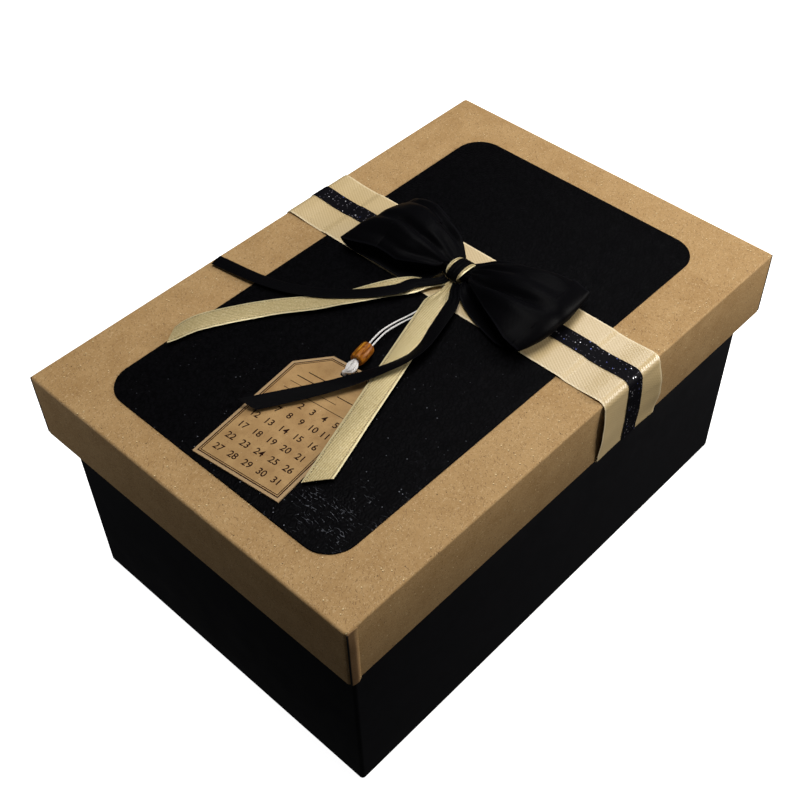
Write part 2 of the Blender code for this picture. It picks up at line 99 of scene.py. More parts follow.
# Bow: the profile is (distance from the knot, height above the lid), from the waist's upper layer round the
# fold to its lower layer.
BOW_COLUMNS = 56
BOW_WAIST = 8.0
BOW_GATHER = 5.0
BOW_THICKNESS = 0.35 * MM
BOW_PROFILE = np.array([
    (0.0, 7.6), (5.8, 8.0), (13.0, 11.2), (24.0, 14.4), (36.0, 15.0), (46.0, 12.8),
    (51.2, 9.4), (50.8, 5.4), (44.0, 2.9), (30.0, 2.3), (14.0, 2.4), (5.8, 4.4), (0.0, 4.7),
])
# "behind" and the two fronts are (full half width, run to reach it, power). Crown is how far the fold's
# middle stands out; lean and droop are (front corner, back corner). A crease is (place across near the waist,
# place near the fold, depth, spread), and a negative depth is a ridge.
LEFT_LOOP = {
    "side": 1,
    "stretch": 1.03,
    "behind": (22.5, 32.0, 0.42),
    "front_upper": (16.8, 20.0, 0.6),
    "front_lower": (19.0, 13.5, 1.0),
    "corner": 4.0,
    "crown": -1.0,
    "lean": (5.5, -2.5),
    "droop": (5.5, 3.0),
    "creases": [(0.02, 0.08, 2.8, 0.13), (0.34, 0.40, -1.0, 0.13), (-0.72, -0.78, 2.0, 0.12),
                (0.75, 0.7, 0.8, 0.1)],
}
RIGHT_LOOP = {
    "side": -1,
    "stretch": 1.05,
    "behind": (25.3, 44.0, 0.45),
    "front_upper": (23.5, 42.0, 0.85),
    "front_lower": (22.5, 34.0, 0.45),
    "corner": 0.0,
    "crown": 1.8,
    "lean": (0.5, 0.0),
    "droop": (4.5, 3.5),
    "creases": [(0.55, 0.02, 3.8, 0.15), (0.85, 0.42, -1.3, 0.16), (-0.30, -0.48, 1.2, 0.18),
                (-0.75, -0.8, -0.7, 0.12)],
}

# Ribbons of the knot and the tails. A tail opens from its gathered width between two distances from the knot,
# and the slant of its cut end takes up the last stretch.
GOLD_THICKNESS = 0.35 * MM
BLACK_THICKNESS = 0.3 * MM
WRAP_COLUMNS = 20
WRAP_PLEAT = 0.07 * MM
HINGE_BEND = 3.2 * MM
TAIL_COLUMNS = 16
TAIL_PLEAT = 0.28 * MM
TAIL_RIPPLE = 0.10 * MM
GATHERED_WIDTH = 4.6 * MM
GATHER_END = 6.0 * MM
OPEN_START = 18.0 * MM
SLANT_RUN = 14.0 * MM

# Tag: its hole's place, and sizes measured from the hole, with x towards the knot and y across the card.
HOLE_X, HOLE_Y = -49.7, -3.9
TAG_HOLE = Vector((HOLE_X, HOLE_Y, 0.0)) * MM
TAG_ANGLE = math.radians(6.4)
TAG_TOP = 5.5
TAG_SHOULDER = TAG_TOP - 12.5
TAG_FOOT = TAG_SHOULDER - 61.9
TAG_HALF = 22.5
TAG_TOP_HALF = 10.2
TAG_RIM = 1.35
HOLE_RADIUS = 1.7
HOLE_RIM = 0.4
FACE_THICKNESS = 0.05
INK_THICKNESS = 0.03
INK_RISE = 0.003 * MM
# Borders are (inset, line width), rules (x, left end, right end, line width) and rows of numbers (x, first
# number's y, step, numbers).
TAG_BORDERS = ((1.30, 0.48), (2.20, 0.34))
TAG_RULES = ((-20.4, 16.0, -16.0, 0.28), (-16.2, -1.0, -8.6, 0.25), (-12.2, 15.5, 6.5, 0.45),
             (-8.2, 12.5, 1.0, 0.45), (-12.2, -6.0, -15.0, 0.45), (-16.2, 16.0, 9.0, 0.25))
TAG_ROWS = ((-25.2, 8.6, -6.08, range(1, 6)), (-32.1, 15.4, -6.2, range(6, 12)),
            (-39.4, 15.2, -7.6, range(12, 17)), (-46.9, 15.2, -7.6, range(17, 22)),
            (-54.3, 15.2, -7.6, range(22, 27)), (-61.6, 15.2, -7.6, range(27, 32)))
NUMBER_SIZE = 4.6

# Bead and cord: the cord runs straight for CORD_RUN on the knot's side of the bead. The hitch is a ring of
# plies round one in the middle.
BEAD_CENTRE = np.array([-38.2, -3.5, 4.6])
BEAD_ANGLE = math.radians(10.8)
BEAD_ALONG = np.array([math.cos(BEAD_ANGLE), math.sin(BEAD_ANGLE), 0.0])
BEAD_ASIDE = np.array([-BEAD_ALONG[1], BEAD_ALONG[0], 0.0])
BEAD_LENGTH = 10.0
BEAD_RADIUS = 3.4
BEAD_BORE = 1.6
BEAD_SHOULDER = 0.9
CORD_RUN = 9.5
CORD_RADIUS = 0.44 * MM
CORD_PITCH = 2.2 * MM
CORD_APART = 0.8
CORD_PATH = [(23.0, -1.8, 2.3), (18.5, -2.4, 2.05), (8.0, -2.6, 2.05), (-4.0, -1.7, 2.6), (-14.5, -0.6, 3.7)]
OUTER_PLIES = 6
PLY_RADIUS = 0.68 * MM
PLY_PITCH = 1.9 * MM

# Camera: its place is in lid lengths from the middle of the lid's top; lens and sensor are in millimetres.
CAMERA_AZIMUTH = math.radians(-46.44)
CAMERA_ELEVATION = math.radians(48.57)
CAMERA_ROLL = math.radians(-0.88)
CAMERA_LENS = 55.4
CAMERA_SENSOR = 36.0
CAMERA_SHIFT = (-0.02, 0.0475)
CAMERA_PLACE = (-1.047, -0.9879, 1.331)

# The sky's brightness as the camera sees it and as it lights the box, and the floor's own glow.
SKY_SEEN = 0.95
SKY_LIGHT = 0.04
FLOOR_GLOW = 1.10

# Lights: watts, size, place, aim, colour.
LIGHTS = {
    "key_light": (9.5, (0.6, 0.6), (0.12, -0.03, 1.25), (0.0, 0.0, 0.12), (1.0, 0.985, 0.96)),
    "right_fill": (4.6, (0.35, 0.3), (0.60, -0.47, 0.33), (0.0, 0.0, 0.12), (1.0, 0.97, 0.92)),
    "left_rim": (0.145, (0.12, 0.10), (-0.30, 0.25, 0.13), (-0.14, 0.05, 0.115), (0.95, 0.96, 1.0)),
    "satin_light": (1.75, (0.3, 0.3), (0.66, 0.20, 0.85), (0.0, 0.0, 0.12), (1.0, 1.0, 1.0)),
}

# Papers and glue that hardly show: roughness, mottle (scale, detail), dark, pale, relief (scale, detail),
# relief's strength and depth, gloss coat.
PLAIN_FINISHES = {
    "tag_card_rim": (0.8, (900.0, 3.0), (0.37, 0.235, 0.110), (0.48, 0.325, 0.170), (2500.0, 2.0),
                     (0.3, 0.0001), 0.0),
    "lining_paper": (0.75, (300.0, 3.0), (0.70, 0.69, 0.655), (0.80, 0.79, 0.76), (1400.0, 3.0),
                     (0.15, 0.0001), 0.0),
    "gummed_paper": (0.8, (500.0, 3.0), (0.46, 0.36, 0.22), (0.58, 0.48, 0.32), (1600.0, 2.0),
                     (0.2, 0.0001), 0.0),
    "set_glue": (0.35, (900.0, 2.0), (0.62, 0.60, 0.52), (0.74, 0.72, 0.65), (500.0, 2.0),
                 (0.4, 0.0003), 0.3),
}

# ---------------------------------------------------------------- node materials


class Shader:
    """A Principled material built from nodes; sockets and plain values can be passed alike."""

    def __init__(self, name, roughness=0.5):
        self.material = bpy.data.materials.new(name)
        self.material.use_nodes = True
        self.nodes = self.material.node_tree.nodes
        self.principled = self.nodes["Principled BSDF"]
        self.principled.inputs["Roughness"].default_value = roughness
        coordinates = self.node("TexCoord").outputs
        self.place = coordinates["Object"]
        self.uv = coordinates["UV"]

    def feed(self, socket, value):
        if isinstance(value, bpy.types.NodeSocket):
            self.material.node_tree.links.new(value, socket)
        elif socket.type == "RGBA":
            socket.default_value = (*value, 1.0)
        else:
            socket.default_value = value

    def node(self, kind, inputs=None, **options):
        """A new node; inputs maps a socket's name or number to its value."""
        made = self.nodes.new("ShaderNode" + kind)
        for option, value in options.items():
            setattr(made, option, value)
        for socket, value in (inputs or {}).items():
            self.feed(made.inputs[socket], value)
        return made

    def finished(self, **values):
        """Sets the surface's own inputs and gives back the material."""
        for name, value in values.items():
            self.feed(self.principled.inputs[name.replace("_", " ")], value)
        return self.material

    def math(self, operation, *values):
        return self.node("Math", dict(enumerate(values)), operation=operation).outputs[0]

    def vector_math(self, operation, *values):
        return self.node("VectorMath", dict(enumerate(values)), operation=operation).outputs

    def times(self, first, second):
        return self.math("MULTIPLY", first, second)

    def mapped(self, scale=(1, 1, 1), turn=(0, 0, 0), vector=None, shift=(0, 0, 0)):
        inputs = {"Vector": vector or self.place, "Scale": scale, "Rotation": turn, "Location": shift}
        return self.node("Mapping", inputs).outputs[0]

    def noise(self, scale, detail=2.0, vector=None, distortion=0.0, output="Fac"):
        inputs = {"Vector": vector or self.place, "Scale": scale, "Detail": detail, "Distortion": distortion}
        return self.node("TexNoise", inputs).outputs[output]

    def cells(self, scale, vector=None, feature="F1"):
        inputs = {"Vector": vector or self.place, "Scale": scale}
        return self.node("TexVoronoi", inputs, feature=feature).outputs

    def ramp(self, value, low, high, start=0.0, end=1.0):
        """Maps value from low..high to start..end, clamped."""
        return self.node("MapRange", dict(enumerate((value, low, high, start, end)))).outputs[0]

    def mix(self, share, first, second):
        return self.node("Mix", {0: share, 6: first, 7: second}, data_type="RGBA").outputs[2]

    def tinted(self, colour, tint, mask, strength):
        """Colour with a tint laid over it where a mask is set."""
        return self.mix(self.times(mask, strength), colour, tint)

    def bump(self, height, strength, distance, under=None):
        inputs = {"Height": height, "Strength": strength, "Distance": distance}
        if under is not None:
            inputs["Normal"] = under
        return self.node("Bump", inputs).outputs[0]

    def warped(self, amount, scale):
        """The place, pushed about by noise; amount is in metres."""
        wobble = self.noise(scale, output="Color")
        centred = self.vector_math("SUBTRACT", wobble, (0.5, 0.5, 0.5))[0]
        return self.vector_math("MULTIPLY_ADD", centred, (amount, amount, amount), self.place)[0]

    def streaks(self, length_scale, width_scale, turn, threshold):
        """A mask of short fibres that run along one direction."""
        stretched = self.mapped((length_scale, width_scale, width_scale), vector=self.mapped(turn=turn))
        return self.ramp(self.noise(1.0, 1.0, stretched), threshold, threshold + 0.05)

    def specks(self, scale, size, share, vector=None):
        """A mask of small dots: size is a dot's radius within its cell, share is how many cells have one."""
        cells = self.cells(scale, vector)
        dot = self.ramp(cells["Distance"], size, size * 0.6)
        chance = self.node("SeparateColor", {0: cells["Color"]}).outputs[0]
        return self.times(dot, self.math("LESS_THAN", chance, share))

    def ribbon_axes(self, half_width):
        """(share of the half width, sideways distance, distance along), the last two in millimetres."""
        sideways, along, _ = self.node("SeparateXYZ", {0: self.uv}).outputs
        return self.math("ABSOLUTE", sideways), self.times(sideways, half_width), along

    def lines(self, sideways, along, pitch, slant):
        """Fine parallel lines across a ribbon, 0 to 1; slant is in degrees from the sideways direction."""
        angle = math.radians(slant)
        frequency = 2 * math.pi / pitch
        phase = self.math("ADD",
                          self.times(sideways, math.sin(angle) * frequency),
                          self.times(along, math.cos(angle) * frequency))
        return self.math("MULTIPLY_ADD", self.math("SINE", phase), 0.5, 0.5)

    def band_mask(self, share, low, high):
        """1 where share lies between low and high."""
        soft = 0.015
        rise = self.ramp(share, low - soft, low + soft)
        fall = self.ramp(share, high - soft, high + soft, 1.0, 0.0)
        return self.times(rise, fall)


def kraft_finish(s, shade=None):
    """Fibrous wrapping paper with glints and flecks; shade is (mask, tint) pairs laid over the colour."""
    mottle = s.ramp(s.noise(110.0, 4.0), 0.32, 0.68)
    colour = s.mix(mottle, (0.372, 0.218, 0.084), (0.455, 0.283, 0.122))
    cloud = s.ramp(s.noise(14.0, 2.0), 0.35, 0.65)
    colour = s.tinted(colour, (0.475, 0.304, 0.136), cloud, 0.35)
    grain = s.ramp(s.noise(620.0, 3.0), 0.36, 0.64)
    colour = s.tinted(colour, (0.520, 0.345, 0.165), grain, 0.30)
    for turn, dark in (((0.3, 0.2, 0.5), True), ((0.1, 0.5, 1.9), True), ((0.4, 0.3, 2.6), True),
                       ((0.6, 0.1, 2.8), False), ((0.2, 0.4, 1.2), False)):
        fibre = s.streaks(520.0, 2300.0, turn, 0.655)
        tint = (0.215, 0.120, 0.050) if dark else (0.610, 0.440, 0.240)
        colour = s.tinted(colour, tint, fibre, 0.68)
    dust = s.specks(800.0, 0.20, 0.18, s.mapped(shift=(0.03, 0.01, 0.02)))
    colour = s.tinted(colour, (0.090, 0.048, 0.020), dust, 0.70)
    shadows = s.specks(460.0, 0.16, 0.22, s.mapped(shift=(0.0003, 0.0003, 0.0)))
    colour = s.tinted(colour, (0.080, 0.042, 0.018), shadows, 0.75)
    flecks = s.specks(300.0, 0.11, 0.25, s.mapped(shift=(0.011, 0.017, 0.0)))
    colour = s.tinted(colour, (0.060, 0.034, 0.018), flecks, 0.80)
    glints = s.specks(460.0, 0.15, 0.22)
    colour = s.mix(glints, colour, (0.84, 0.68, 0.38))
    for mask, tint in shade or ():
        colour = s.mix(mask, colour, tint)
    relief = s.bump(s.noise(1500.0, 3.0), 0.25, 0.0001)
    relief = s.bump(s.noise(220.0, 2.0), 0.20, 0.0002, relief)
    rough = s.ramp(glints, 0.0, 1.0, 0.74, 0.3)
    return s.finished(Base_Color=colour, Normal=relief, Roughness=rough, Specular_IOR_Level=0.20)


def kraft_paper():
    return kraft_finish(Shader("kraft_paper", 0.72))


def kraft_lap():
    """The lapped corner strip: kraft in painted shade towards the corner, and a painted shadow in the gap along
    it.
    """
    s = Shader("kraft_lap", 0.72)
    half = LAP_WIDTH / 2
    _, sideways, _ = s.ribbon_axes(half)
    # Painted shade: darker from the free edge towards the corner.
    in_shade = s.ramp(sideways, -half, -0.4, 0.10, 0.70)
    # Painted shadow: near black in the gap along the corner.
    gap_shadow = s.ramp(sideways, 1.85, 2.25)
    return kraft_finish(s, ((in_shade, (0.085, 0.040, 0.020)), (gap_shadow, (0.0035, 0.0025, 0.0025))))


def black_paper():
    s = Shader("black_paper", 0.5)
    mottle = s.noise(240.0, 3.0)
    colour = s.mix(mottle, (0.0034, 0.0034, 0.0042), (0.0062, 0.0061, 0.0078))
    relief = s.bump(s.noise(900.0, 3.0), 0.18, 0.0001)
    relief = s.bump(s.noise(26.0, 2.0), 0.30, 0.0006, relief)
    rough = s.ramp(s.noise(60.0, 2.0), 0.3, 0.7, 0.50, 0.62)
    return s.finished(Base_Color=colour, Normal=relief, Roughness=rough, Specular_IOR_Level=0.10)


def leatherette():
    """Pebbled leather look: near black, with painted shade in its creases and painted glints on short ones at
    the front.
    """
    s = Shader("leatherette", 0.4)
    pushed = s.warped(0.006, 130.0)
    stretched = s.mapped((1.0, 1.7, 1.0), (0.0, 0.0, 0.7), pushed)
    cells = s.cells(360.0, stretched, "DISTANCE_TO_EDGE")["Distance"]
    small_cells = s.cells(900.0, pushed, "DISTANCE_TO_EDGE")["Distance"]
    crease = s.ramp(cells, 0.0, 0.22)
    grain = s.ramp(small_cells, 0.0, 0.25)
    height = s.math("ADD", s.times(crease, 0.65), s.times(grain, 0.35))
    relief = s.bump(height, 0.55, 0.00022)
    relief = s.bump(s.noise(60.0, 3.0), 0.35, 0.0006, relief)
    # Darker in the creases: painted shade.
    colour = s.mix(crease, (0.0010, 0.0010, 0.0013), (0.0025, 0.0024, 0.0031))
    # Painted glints: short crease lines near the front corner and sparse dots around it, laid into the colour.
    corner = (PANEL_LOW.x + 12.0 * MM, PANEL_LOW.y + 18.0 * MM, PANEL_HIGH.z)
    away = s.vector_math("DISTANCE", s.place, corner)["Value"]
    forward = s.ramp(away, 0.056, 0.010)
    around = s.ramp(away, 0.120, 0.045)
    wavy = s.mapped((1.0, 0.16, 1.0), vector=s.warped(0.006, 90.0))
    ridges = s.cells(620.0, wavy, "DISTANCE_TO_EDGE")["Distance"]
    line = s.times(s.ramp(ridges, 0.0, 0.035, 1.0, 0.0), s.ramp(s.noise(600.0, 2.0), 0.50, 0.60))
    patch = s.ramp(s.math("MULTIPLY_ADD", forward, 0.22, s.noise(70.0, 3.0)), 0.60, 0.74)
    lines = s.times(s.times(line, patch), s.times(forward, 0.75))
    dots = s.times(s.specks(700.0, 0.21, 0.10), s.ramp(s.noise(90.0, 2.0), 0.42, 0.55))
    shine = s.math("MAXIMUM", lines, s.times(dots, around))
    colour = s.mix(shine, colour, (0.20, 0.21, 0.245))
    rough = s.ramp(s.noise(150.0, 2.0), 0.35, 0.7, 0.38, 0.55)
    return s.finished(Base_Color=colour, Normal=relief, Roughness=rough, Specular_IOR_Level=0.02)


def cream_satin():
    s = Shader("cream_satin", 0.38)
    share, sideways, along = s.ribbon_axes(19.5)
    twill = s.lines(sideways, along, 1.25, 58.0)
    cross_threads = s.lines(sideways, along, 1.30, -28.0)
    weave = s.math("ADD", s.times(twill, 0.7), s.times(cross_threads, 0.3))
    colour = s.mix(weave, (0.540, 0.392, 0.185), (0.650, 0.500, 0.265))
    tone = s.ramp(s.noise(30.0, 2.0), 0.35, 0.65)
    colour = s.tinted(colour, (0.70, 0.55, 0.33), tone, 0.25)
    selvedge = s.band_mask(share, 0.955, 1.1)
    colour = s.tinted(colour, (0.80, 0.66, 0.42), selvedge, 0.8)
    relief = s.bump(weave, 0.5, 0.0001)
    return s.finished(Base_Color=colour, Normal=relief, Specular_IOR_Level=1.0, Anisotropic=0.5)


def glitter_ribbon():
    s = Shader("black_glitter_ribbon", 0.45)
    share, sideways, along = s.ribbon_axes(4.65)
    weave = s.lines(sideways, along, 0.55, 30.0)
    colour = s.mix(weave, (0.0020, 0.0020, 0.0030), (0.0060, 0.0056, 0.0080))
    fine = s.specks(950.0, 0.28, 0.34)
    bold = s.specks(620.0, 0.21, 0.24)
    blue = s.specks(650.0, 0.19, 0.12, s.mapped(shift=(0.02, 0.03, 0.01)))
    colour = s.mix(fine, colour, (0.16, 0.15, 0.18))
    colour = s.mix(bold, colour, (0.90, 0.90, 0.95))
    colour = s.mix(blue, colour, (0.22, 0.26, 0.75))
    edge = s.band_mask(share, 0.93, 1.1)
    colour = s.tinted(colour, (0.014, 0.013, 0.017), edge, 0.5)
    relief = s.bump(weave, 0.35, 0.00008)
    metal = s.math("MAXIMUM", bold, blue)
    return s.finished(Base_Color=colour, Normal=relief, Metallic=metal, Specular_IOR_Level=0.03)


def black_satin():
    s = Shader("black_satin", 0.42)
    share, sideways, along = s.ribbon_axes(19.0)
    weave = s.lines(sideways, along, 0.45, 62.0)
    colour = s.mix(weave, (0.0013, 0.0013, 0.0017), (0.0027, 0.0026, 0.0034))
    edge = s.band_mask(share, 0.965, 1.1)
    colour = s.tinted(colour, (0.006, 0.006, 0.008), edge, 0.6)
    relief = s.bump(weave, 0.25, 0.00006)
    relief = s.bump(s.noise(120.0, 2.0), 0.25, 0.0004, relief)
    return s.finished(Base_Color=colour, Normal=relief, Sheen_Weight=0.012, Sheen_Roughness=0.35,
                      Sheen_Tint=(0.55, 0.55, 0.62), Anisotropic=0.4, Specular_IOR_Level=0.02)


def gold_satin():
    s = Shader("gold_satin", 0.38)
    share, sideways, along = s.ribbon_axes(5.0)
    ridges = s.lines(sideways, along, 0.90, 82.0)
    threads = s.ramp(s.noise(1500.0, 1.0), 0.30, 0.70)
    twill = s.math("MULTIPLY_ADD", ridges, 0.55, s.times(threads, 0.45))
    colour = s.mix(twill, (0.355, 0.258, 0.100), (0.690, 0.575, 0.310))
    # Pale specks: painted glints on the threads.
    grain = s.specks(1300.0, 0.45, 0.35)
    colour = s.tinted(colour, (0.90, 0.82, 0.56), grain, 0.30)
    stitch = s.band_mask(share, 0.755, 0.815)
    dashes = s.ramp(s.lines(sideways, along, 1.3, 0.0), 0.15, 0.35)
    colour = s.tinted(colour, (0.085, 0.065, 0.028), s.times(stitch, dashes), 0.85)
    selvedge = s.band_mask(share, 0.90, 1.2)
    colour = s.tinted(colour, (0.76, 0.68, 0.42), selvedge, 0.65)
    relief = s.bump(twill, 0.45, 0.0001)
    relief = s.bump(s.math("SUBTRACT", 1.0, stitch), 0.5, 0.00015, relief)
    return s.finished(Base_Color=colour, Normal=relief, Metallic=0.25, Sheen_Weight=0.2, Sheen_Roughness=0.3)


def tag_card():
    s = Shader("tag_card", 0.75)
    mottle = s.ramp(s.noise(160.0, 3.0), 0.3, 0.7)
    colour = s.mix(mottle, (0.350, 0.200, 0.070), (0.460, 0.282, 0.112))
    for turn in ((0.0, 0.0, 0.3), (0.0, 0.0, 1.7), (0.0, 0.0, 2.6)):
        fibre = s.streaks(700.0, 3800.0, turn, 0.67)
        colour = s.tinted(colour, (0.230, 0.115, 0.045), fibre, 0.5)
    pale = s.specks(700.0, 0.2, 0.12)
    colour = s.tinted(colour, (0.60, 0.44, 0.26), pale, 0.5)
    relief = s.bump(s.noise(1800.0, 3.0), 0.2, 0.00008)
    return s.finished(Base_Color=colour, Normal=relief)


def print_ink():
    s = Shader("tag_ink", 0.6)
    wear = s.ramp(s.noise(2600.0, 2.0), 0.62, 0.75)
    colour = s.tinted((0.022, 0.007, 0.004), (0.090, 0.040, 0.020), wear, 0.5)
    return s.finished(Base_Color=colour, Specular_IOR_Level=0.05)


def cord_thread():
    s = Shader("cord_thread", 0.5)
    _, sideways, along = s.ribbon_axes(1.0)
    ply = s.lines(sideways, along, 0.42, 35.0)
    colour = s.mix(ply, (0.72, 0.70, 0.68), (0.96, 0.95, 0.94))
    shadow = s.ramp(s.noise(1600.0, 2.0), 0.35, 0.6)
    colour = s.tinted(colour, (0.52, 0.46, 0.44), shadow, 0.25)
    return s.finished(Base_Color=colour, Normal=s.bump(ply, 0.4, 0.00008), Sheen_Weight=0.3)


def bead_wood():
    s = Shader("bead_wood", 0.3)
    turned = s.mapped(turn=(0.0, 0.0, -BEAD_ANGLE))
    stretched = s.mapped((260.0, 1500.0, 1500.0), vector=turned)
    grain = s.ramp(s.noise(1.0, 4.0, stretched, 0.6), 0.35, 0.68)
    colour = s.mix(grain, (0.105, 0.024, 0.002), (0.440, 0.150, 0.012))
    streak = s.ramp(s.noise(1.0, 2.0, s.mapped((120.0, 900.0, 900.0), vector=turned)), 0.60, 0.68)
    colour = s.tinted(colour, (0.70, 0.34, 0.03), streak, 0.7)
    return s.finished(Base_Color=colour, Normal=s.bump(grain, 0.15, 0.0001), Specular_IOR_Level=0.12)


def greyboard():
    s = Shader("greyboard", 0.9)
    colour = s.mix(s.noise(420.0, 4.0), (0.20, 0.19, 0.17), (0.33, 0.32, 0.29))
    fibre = s.streaks(500.0, 2800.0, (0.4, 0.3, 1.0), 0.66)
    colour = s.tinted(colour, (0.12, 0.11, 0.10), fibre, 0.5)
    return s.finished(Base_Color=colour, Normal=s.bump(s.noise(1200.0, 3.0), 0.3, 0.0002))


def plain_finish(name):
    """A mottled finish for a part that hardly shows."""
    roughness, mottle, dark, pale, relief, depth, coat = PLAIN_FINISHES[name]
    s = Shader(name, roughness)
    colour = s.mix(s.noise(*mottle), dark, pale)
    return s.finished(Base_Color=colour, Normal=s.bump(s.noise(*relief), *depth), Coat_Weight=coat)


# ---------------------------------------------------------------- mesh helpers


def ring_faces(rings, around, closed=False):
    """Quads between rings of equal count, as (here, next here, next there, there) corners."""
    faces = []
    for i in range(rings if closed else rings - 1):
        j = (i + 1) % rings
        for k in range(around):
            m = (k + 1) % around
            faces.append((i * around + k, i * around + m, j * around + m, j * around + k))
    return faces


def add_object(name, data):
    thing = bpy.data.objects.new(name, data)
    bpy.context.scene.collection.objects.link(thing)
    return thing


def make_object(name, vertices, faces, material, uvs=None):
    mesh = bpy.data.meshes.new(name)
    mesh.from_pydata([tuple(v) for v in vertices], [], faces)
    if uvs is not None:
        layer = mesh.uv_layers.new(name="ribbon")
        layer.data.foreach_set("uv", np.asarray(uvs, np.float32).ravel())
    mesh.materials.append(material)
    mesh.validate()
    mesh.shade_smooth()
    return add_object(name, mesh)


def finish_piece(thing, body=None, replaces=(), sharp=50.0):
    thing.data.set_sharp_from_angle(angle=math.radians(sharp))
    if body:
        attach(thing, body)
    if replaces:
        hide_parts(*replaces)
    return thing


def smoothstep(value, low, high):
    t = np.clip((np.asarray(value, float) - low) / (high - low), 0.0, 1.0)
    return t * t * (3 - 2 * t)


def above_lid(points):
    """(x, y, height above the lid) in millimetres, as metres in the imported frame."""
    return np.array([(x, y, height + LID_TOP / MM) for x, y, height in points]) * MM


def through(points, steps=24):
    """A Catmull-Rom curve through points (n, 3)."""
    points = np.asarray(points, float)
    padded = np.vstack([2 * points[0] - points[1], points, 2 * points[-1] - points[-2]])
    pieces = []
    for i in range(1, len(padded) - 2):
        before, start, end, after = padded[i - 1:i + 3]
        t = np.linspace(0.0, 1.0, steps, endpoint=False)[:, None]
        pieces.append(0.5 * (2 * start + (end - before) * t
                             + (2 * before - 5 * start + 4 * end - after) * t ** 2
                             + (3 * start - before - 3 * end + after) * t ** 3))
    return np.vstack(pieces + [points[-1:]])


def travelled(path):
    """Distance along a path at each of its points."""
    steps = np.linalg.norm(np.diff(path, axis=0), axis=1)
    return np.concatenate([[0.0], np.cumsum(steps)])


def even(path, spacing):
    """The same path with evenly spaced points."""
    distance = travelled(path)
    count = max(int(round(distance[-1] / spacing)), 2)
    wanted = np.linspace(0.0, distance[-1], count + 1)
    return np.column_stack([np.interp(wanted, distance, path[:, axis]) for axis in range(3)])


def columns_across(columns):
    """Places across a ribbon, -1 to 1, as one row."""
    return np.linspace(-1.0, 1.0, columns + 1)[None, :]


def facing(path, x, y):
    """The same level direction at every point of a path."""
    return np.broadcast_to(np.array([x, y, 0.0]), path.shape)


def unit(vectors):
    return vectors / np.linalg.norm(vectors, axis=-1, keepdims=True)


class Sheet:
    """A ribbon as a grid: stations along it, columns across it. It can be cut into pieces along it."""

    def __init__(self, path, across, width, thickness, columns, lift, shift=None, closed=False):
        self.closed = closed
        self.u = columns_across(columns)[0]
        self.v = travelled(path)
        along = self.slope(path)
        up = unit(np.cross(along, across))
        across = unit(np.cross(up, along))
        width = np.broadcast_to(width, (len(path),))
        middle = path[:, None, :] + across[:, None, :] * (width[:, None] * self.u / 2)[..., None]
        middle = middle + up[:, None, :] * lift[..., None]
        if shift is not None:
            middle = middle + unit(along)[:, None, :] * shift[..., None]
        normal = unit(np.cross(self.slope(middle), np.gradient(middle, axis=1)))
        edge = np.clip((1.0 - np.abs(self.u)) / 0.05, 0.0, 1.0)
        profile = 0.45 + 0.55 * np.sqrt(edge) + 0.12 * np.exp(-((np.abs(self.u) - 0.93) / 0.04) ** 2)
        half = (thickness / 2 * profile)[None, :, None]
        self.top = middle + normal * half
        self.bottom = middle - normal * half

    def slope(self, grid):
        if not self.closed:
            return np.gradient(grid, axis=0)
        return np.roll(grid, -1, axis=0) - np.roll(grid, 1, axis=0)

    def piece(self, name, material, start=0, stop=None):
        """Stations start..stop as one closed body."""
        count = len(self.top)
        last = count - 1 if stop is None else stop
        columns = len(self.u)
        loop = np.concatenate([self.top, self.bottom[:, ::-1]], axis=1)
        around = loop.shape[1]
        stations = range(count) if self.closed else range(start, last + 1)
        vertices = loop[list(stations)].reshape(-1, 3)
        u_round = np.concatenate([self.u, self.u[::-1]])
        length = self.v / MM
        end_length = length[-1] + np.linalg.norm(self.top[0, 0] - self.top[-1, 0]) / MM
        faces = [(a, d, c, b) for a, b, c, d in ring_faces(len(stations), around, self.closed)]
        uvs = []
        for a, d, c, b in faces:
            here = length[stations[a // around]]
            there = end_length if d < a else length[stations[d // around]]
            left, right = u_round[a % around], u_round[b % around]
            uvs += [(left, here), (left, there), (right, there), (right, here)]
        if not self.closed:
            for i, flip in ((0, False), (len(stations) - 1, True)):
                here = length[stations[i]]
                for k in range(columns - 1):
                    a, b = i * around + k, i * around + k + 1
                    c, d = i * around + around - 2 - k, i * around + around - 1 - k
                    face = (a, b, c, d) if not flip else (d, c, b, a)
                    faces.append(face)
                    uvs += [(self.u[k], here)] * 4
        return make_object(name, vertices, faces, material, uvs)

    def station_at(self, axis, value):
        """The first station whose centre has passed a coordinate, moving away from the start."""
        centre = self.top[:, len(self.u) // 2, axis]
        sign = np.sign(centre[-1] - centre[0])
        return int(np.argmax((centre - value) * sign >= 0))

    def centre(self, station):
        return tuple(self.top[station, len(self.u) // 2])


def level_across(path):
    """Sideways directions of a level ribbon, so that along x across points up."""
    along = unit(np.gradient(path, axis=0) * np.array([1.0, 1.0, 0.0]))
    return np.cross(UP, along)


def turned_across(path, roll):
    """Sideways directions rolled about the path by an angle per station, in degrees."""
    along = unit(np.gradient(path, axis=0))
    flat = level_across(path)
    up = unit(np.cross(along, flat))
    flat = unit(np.cross(up, along))
    angle = np.radians(roll)[:, None]
    return flat * np.cos(angle) + up * np.sin(angle)


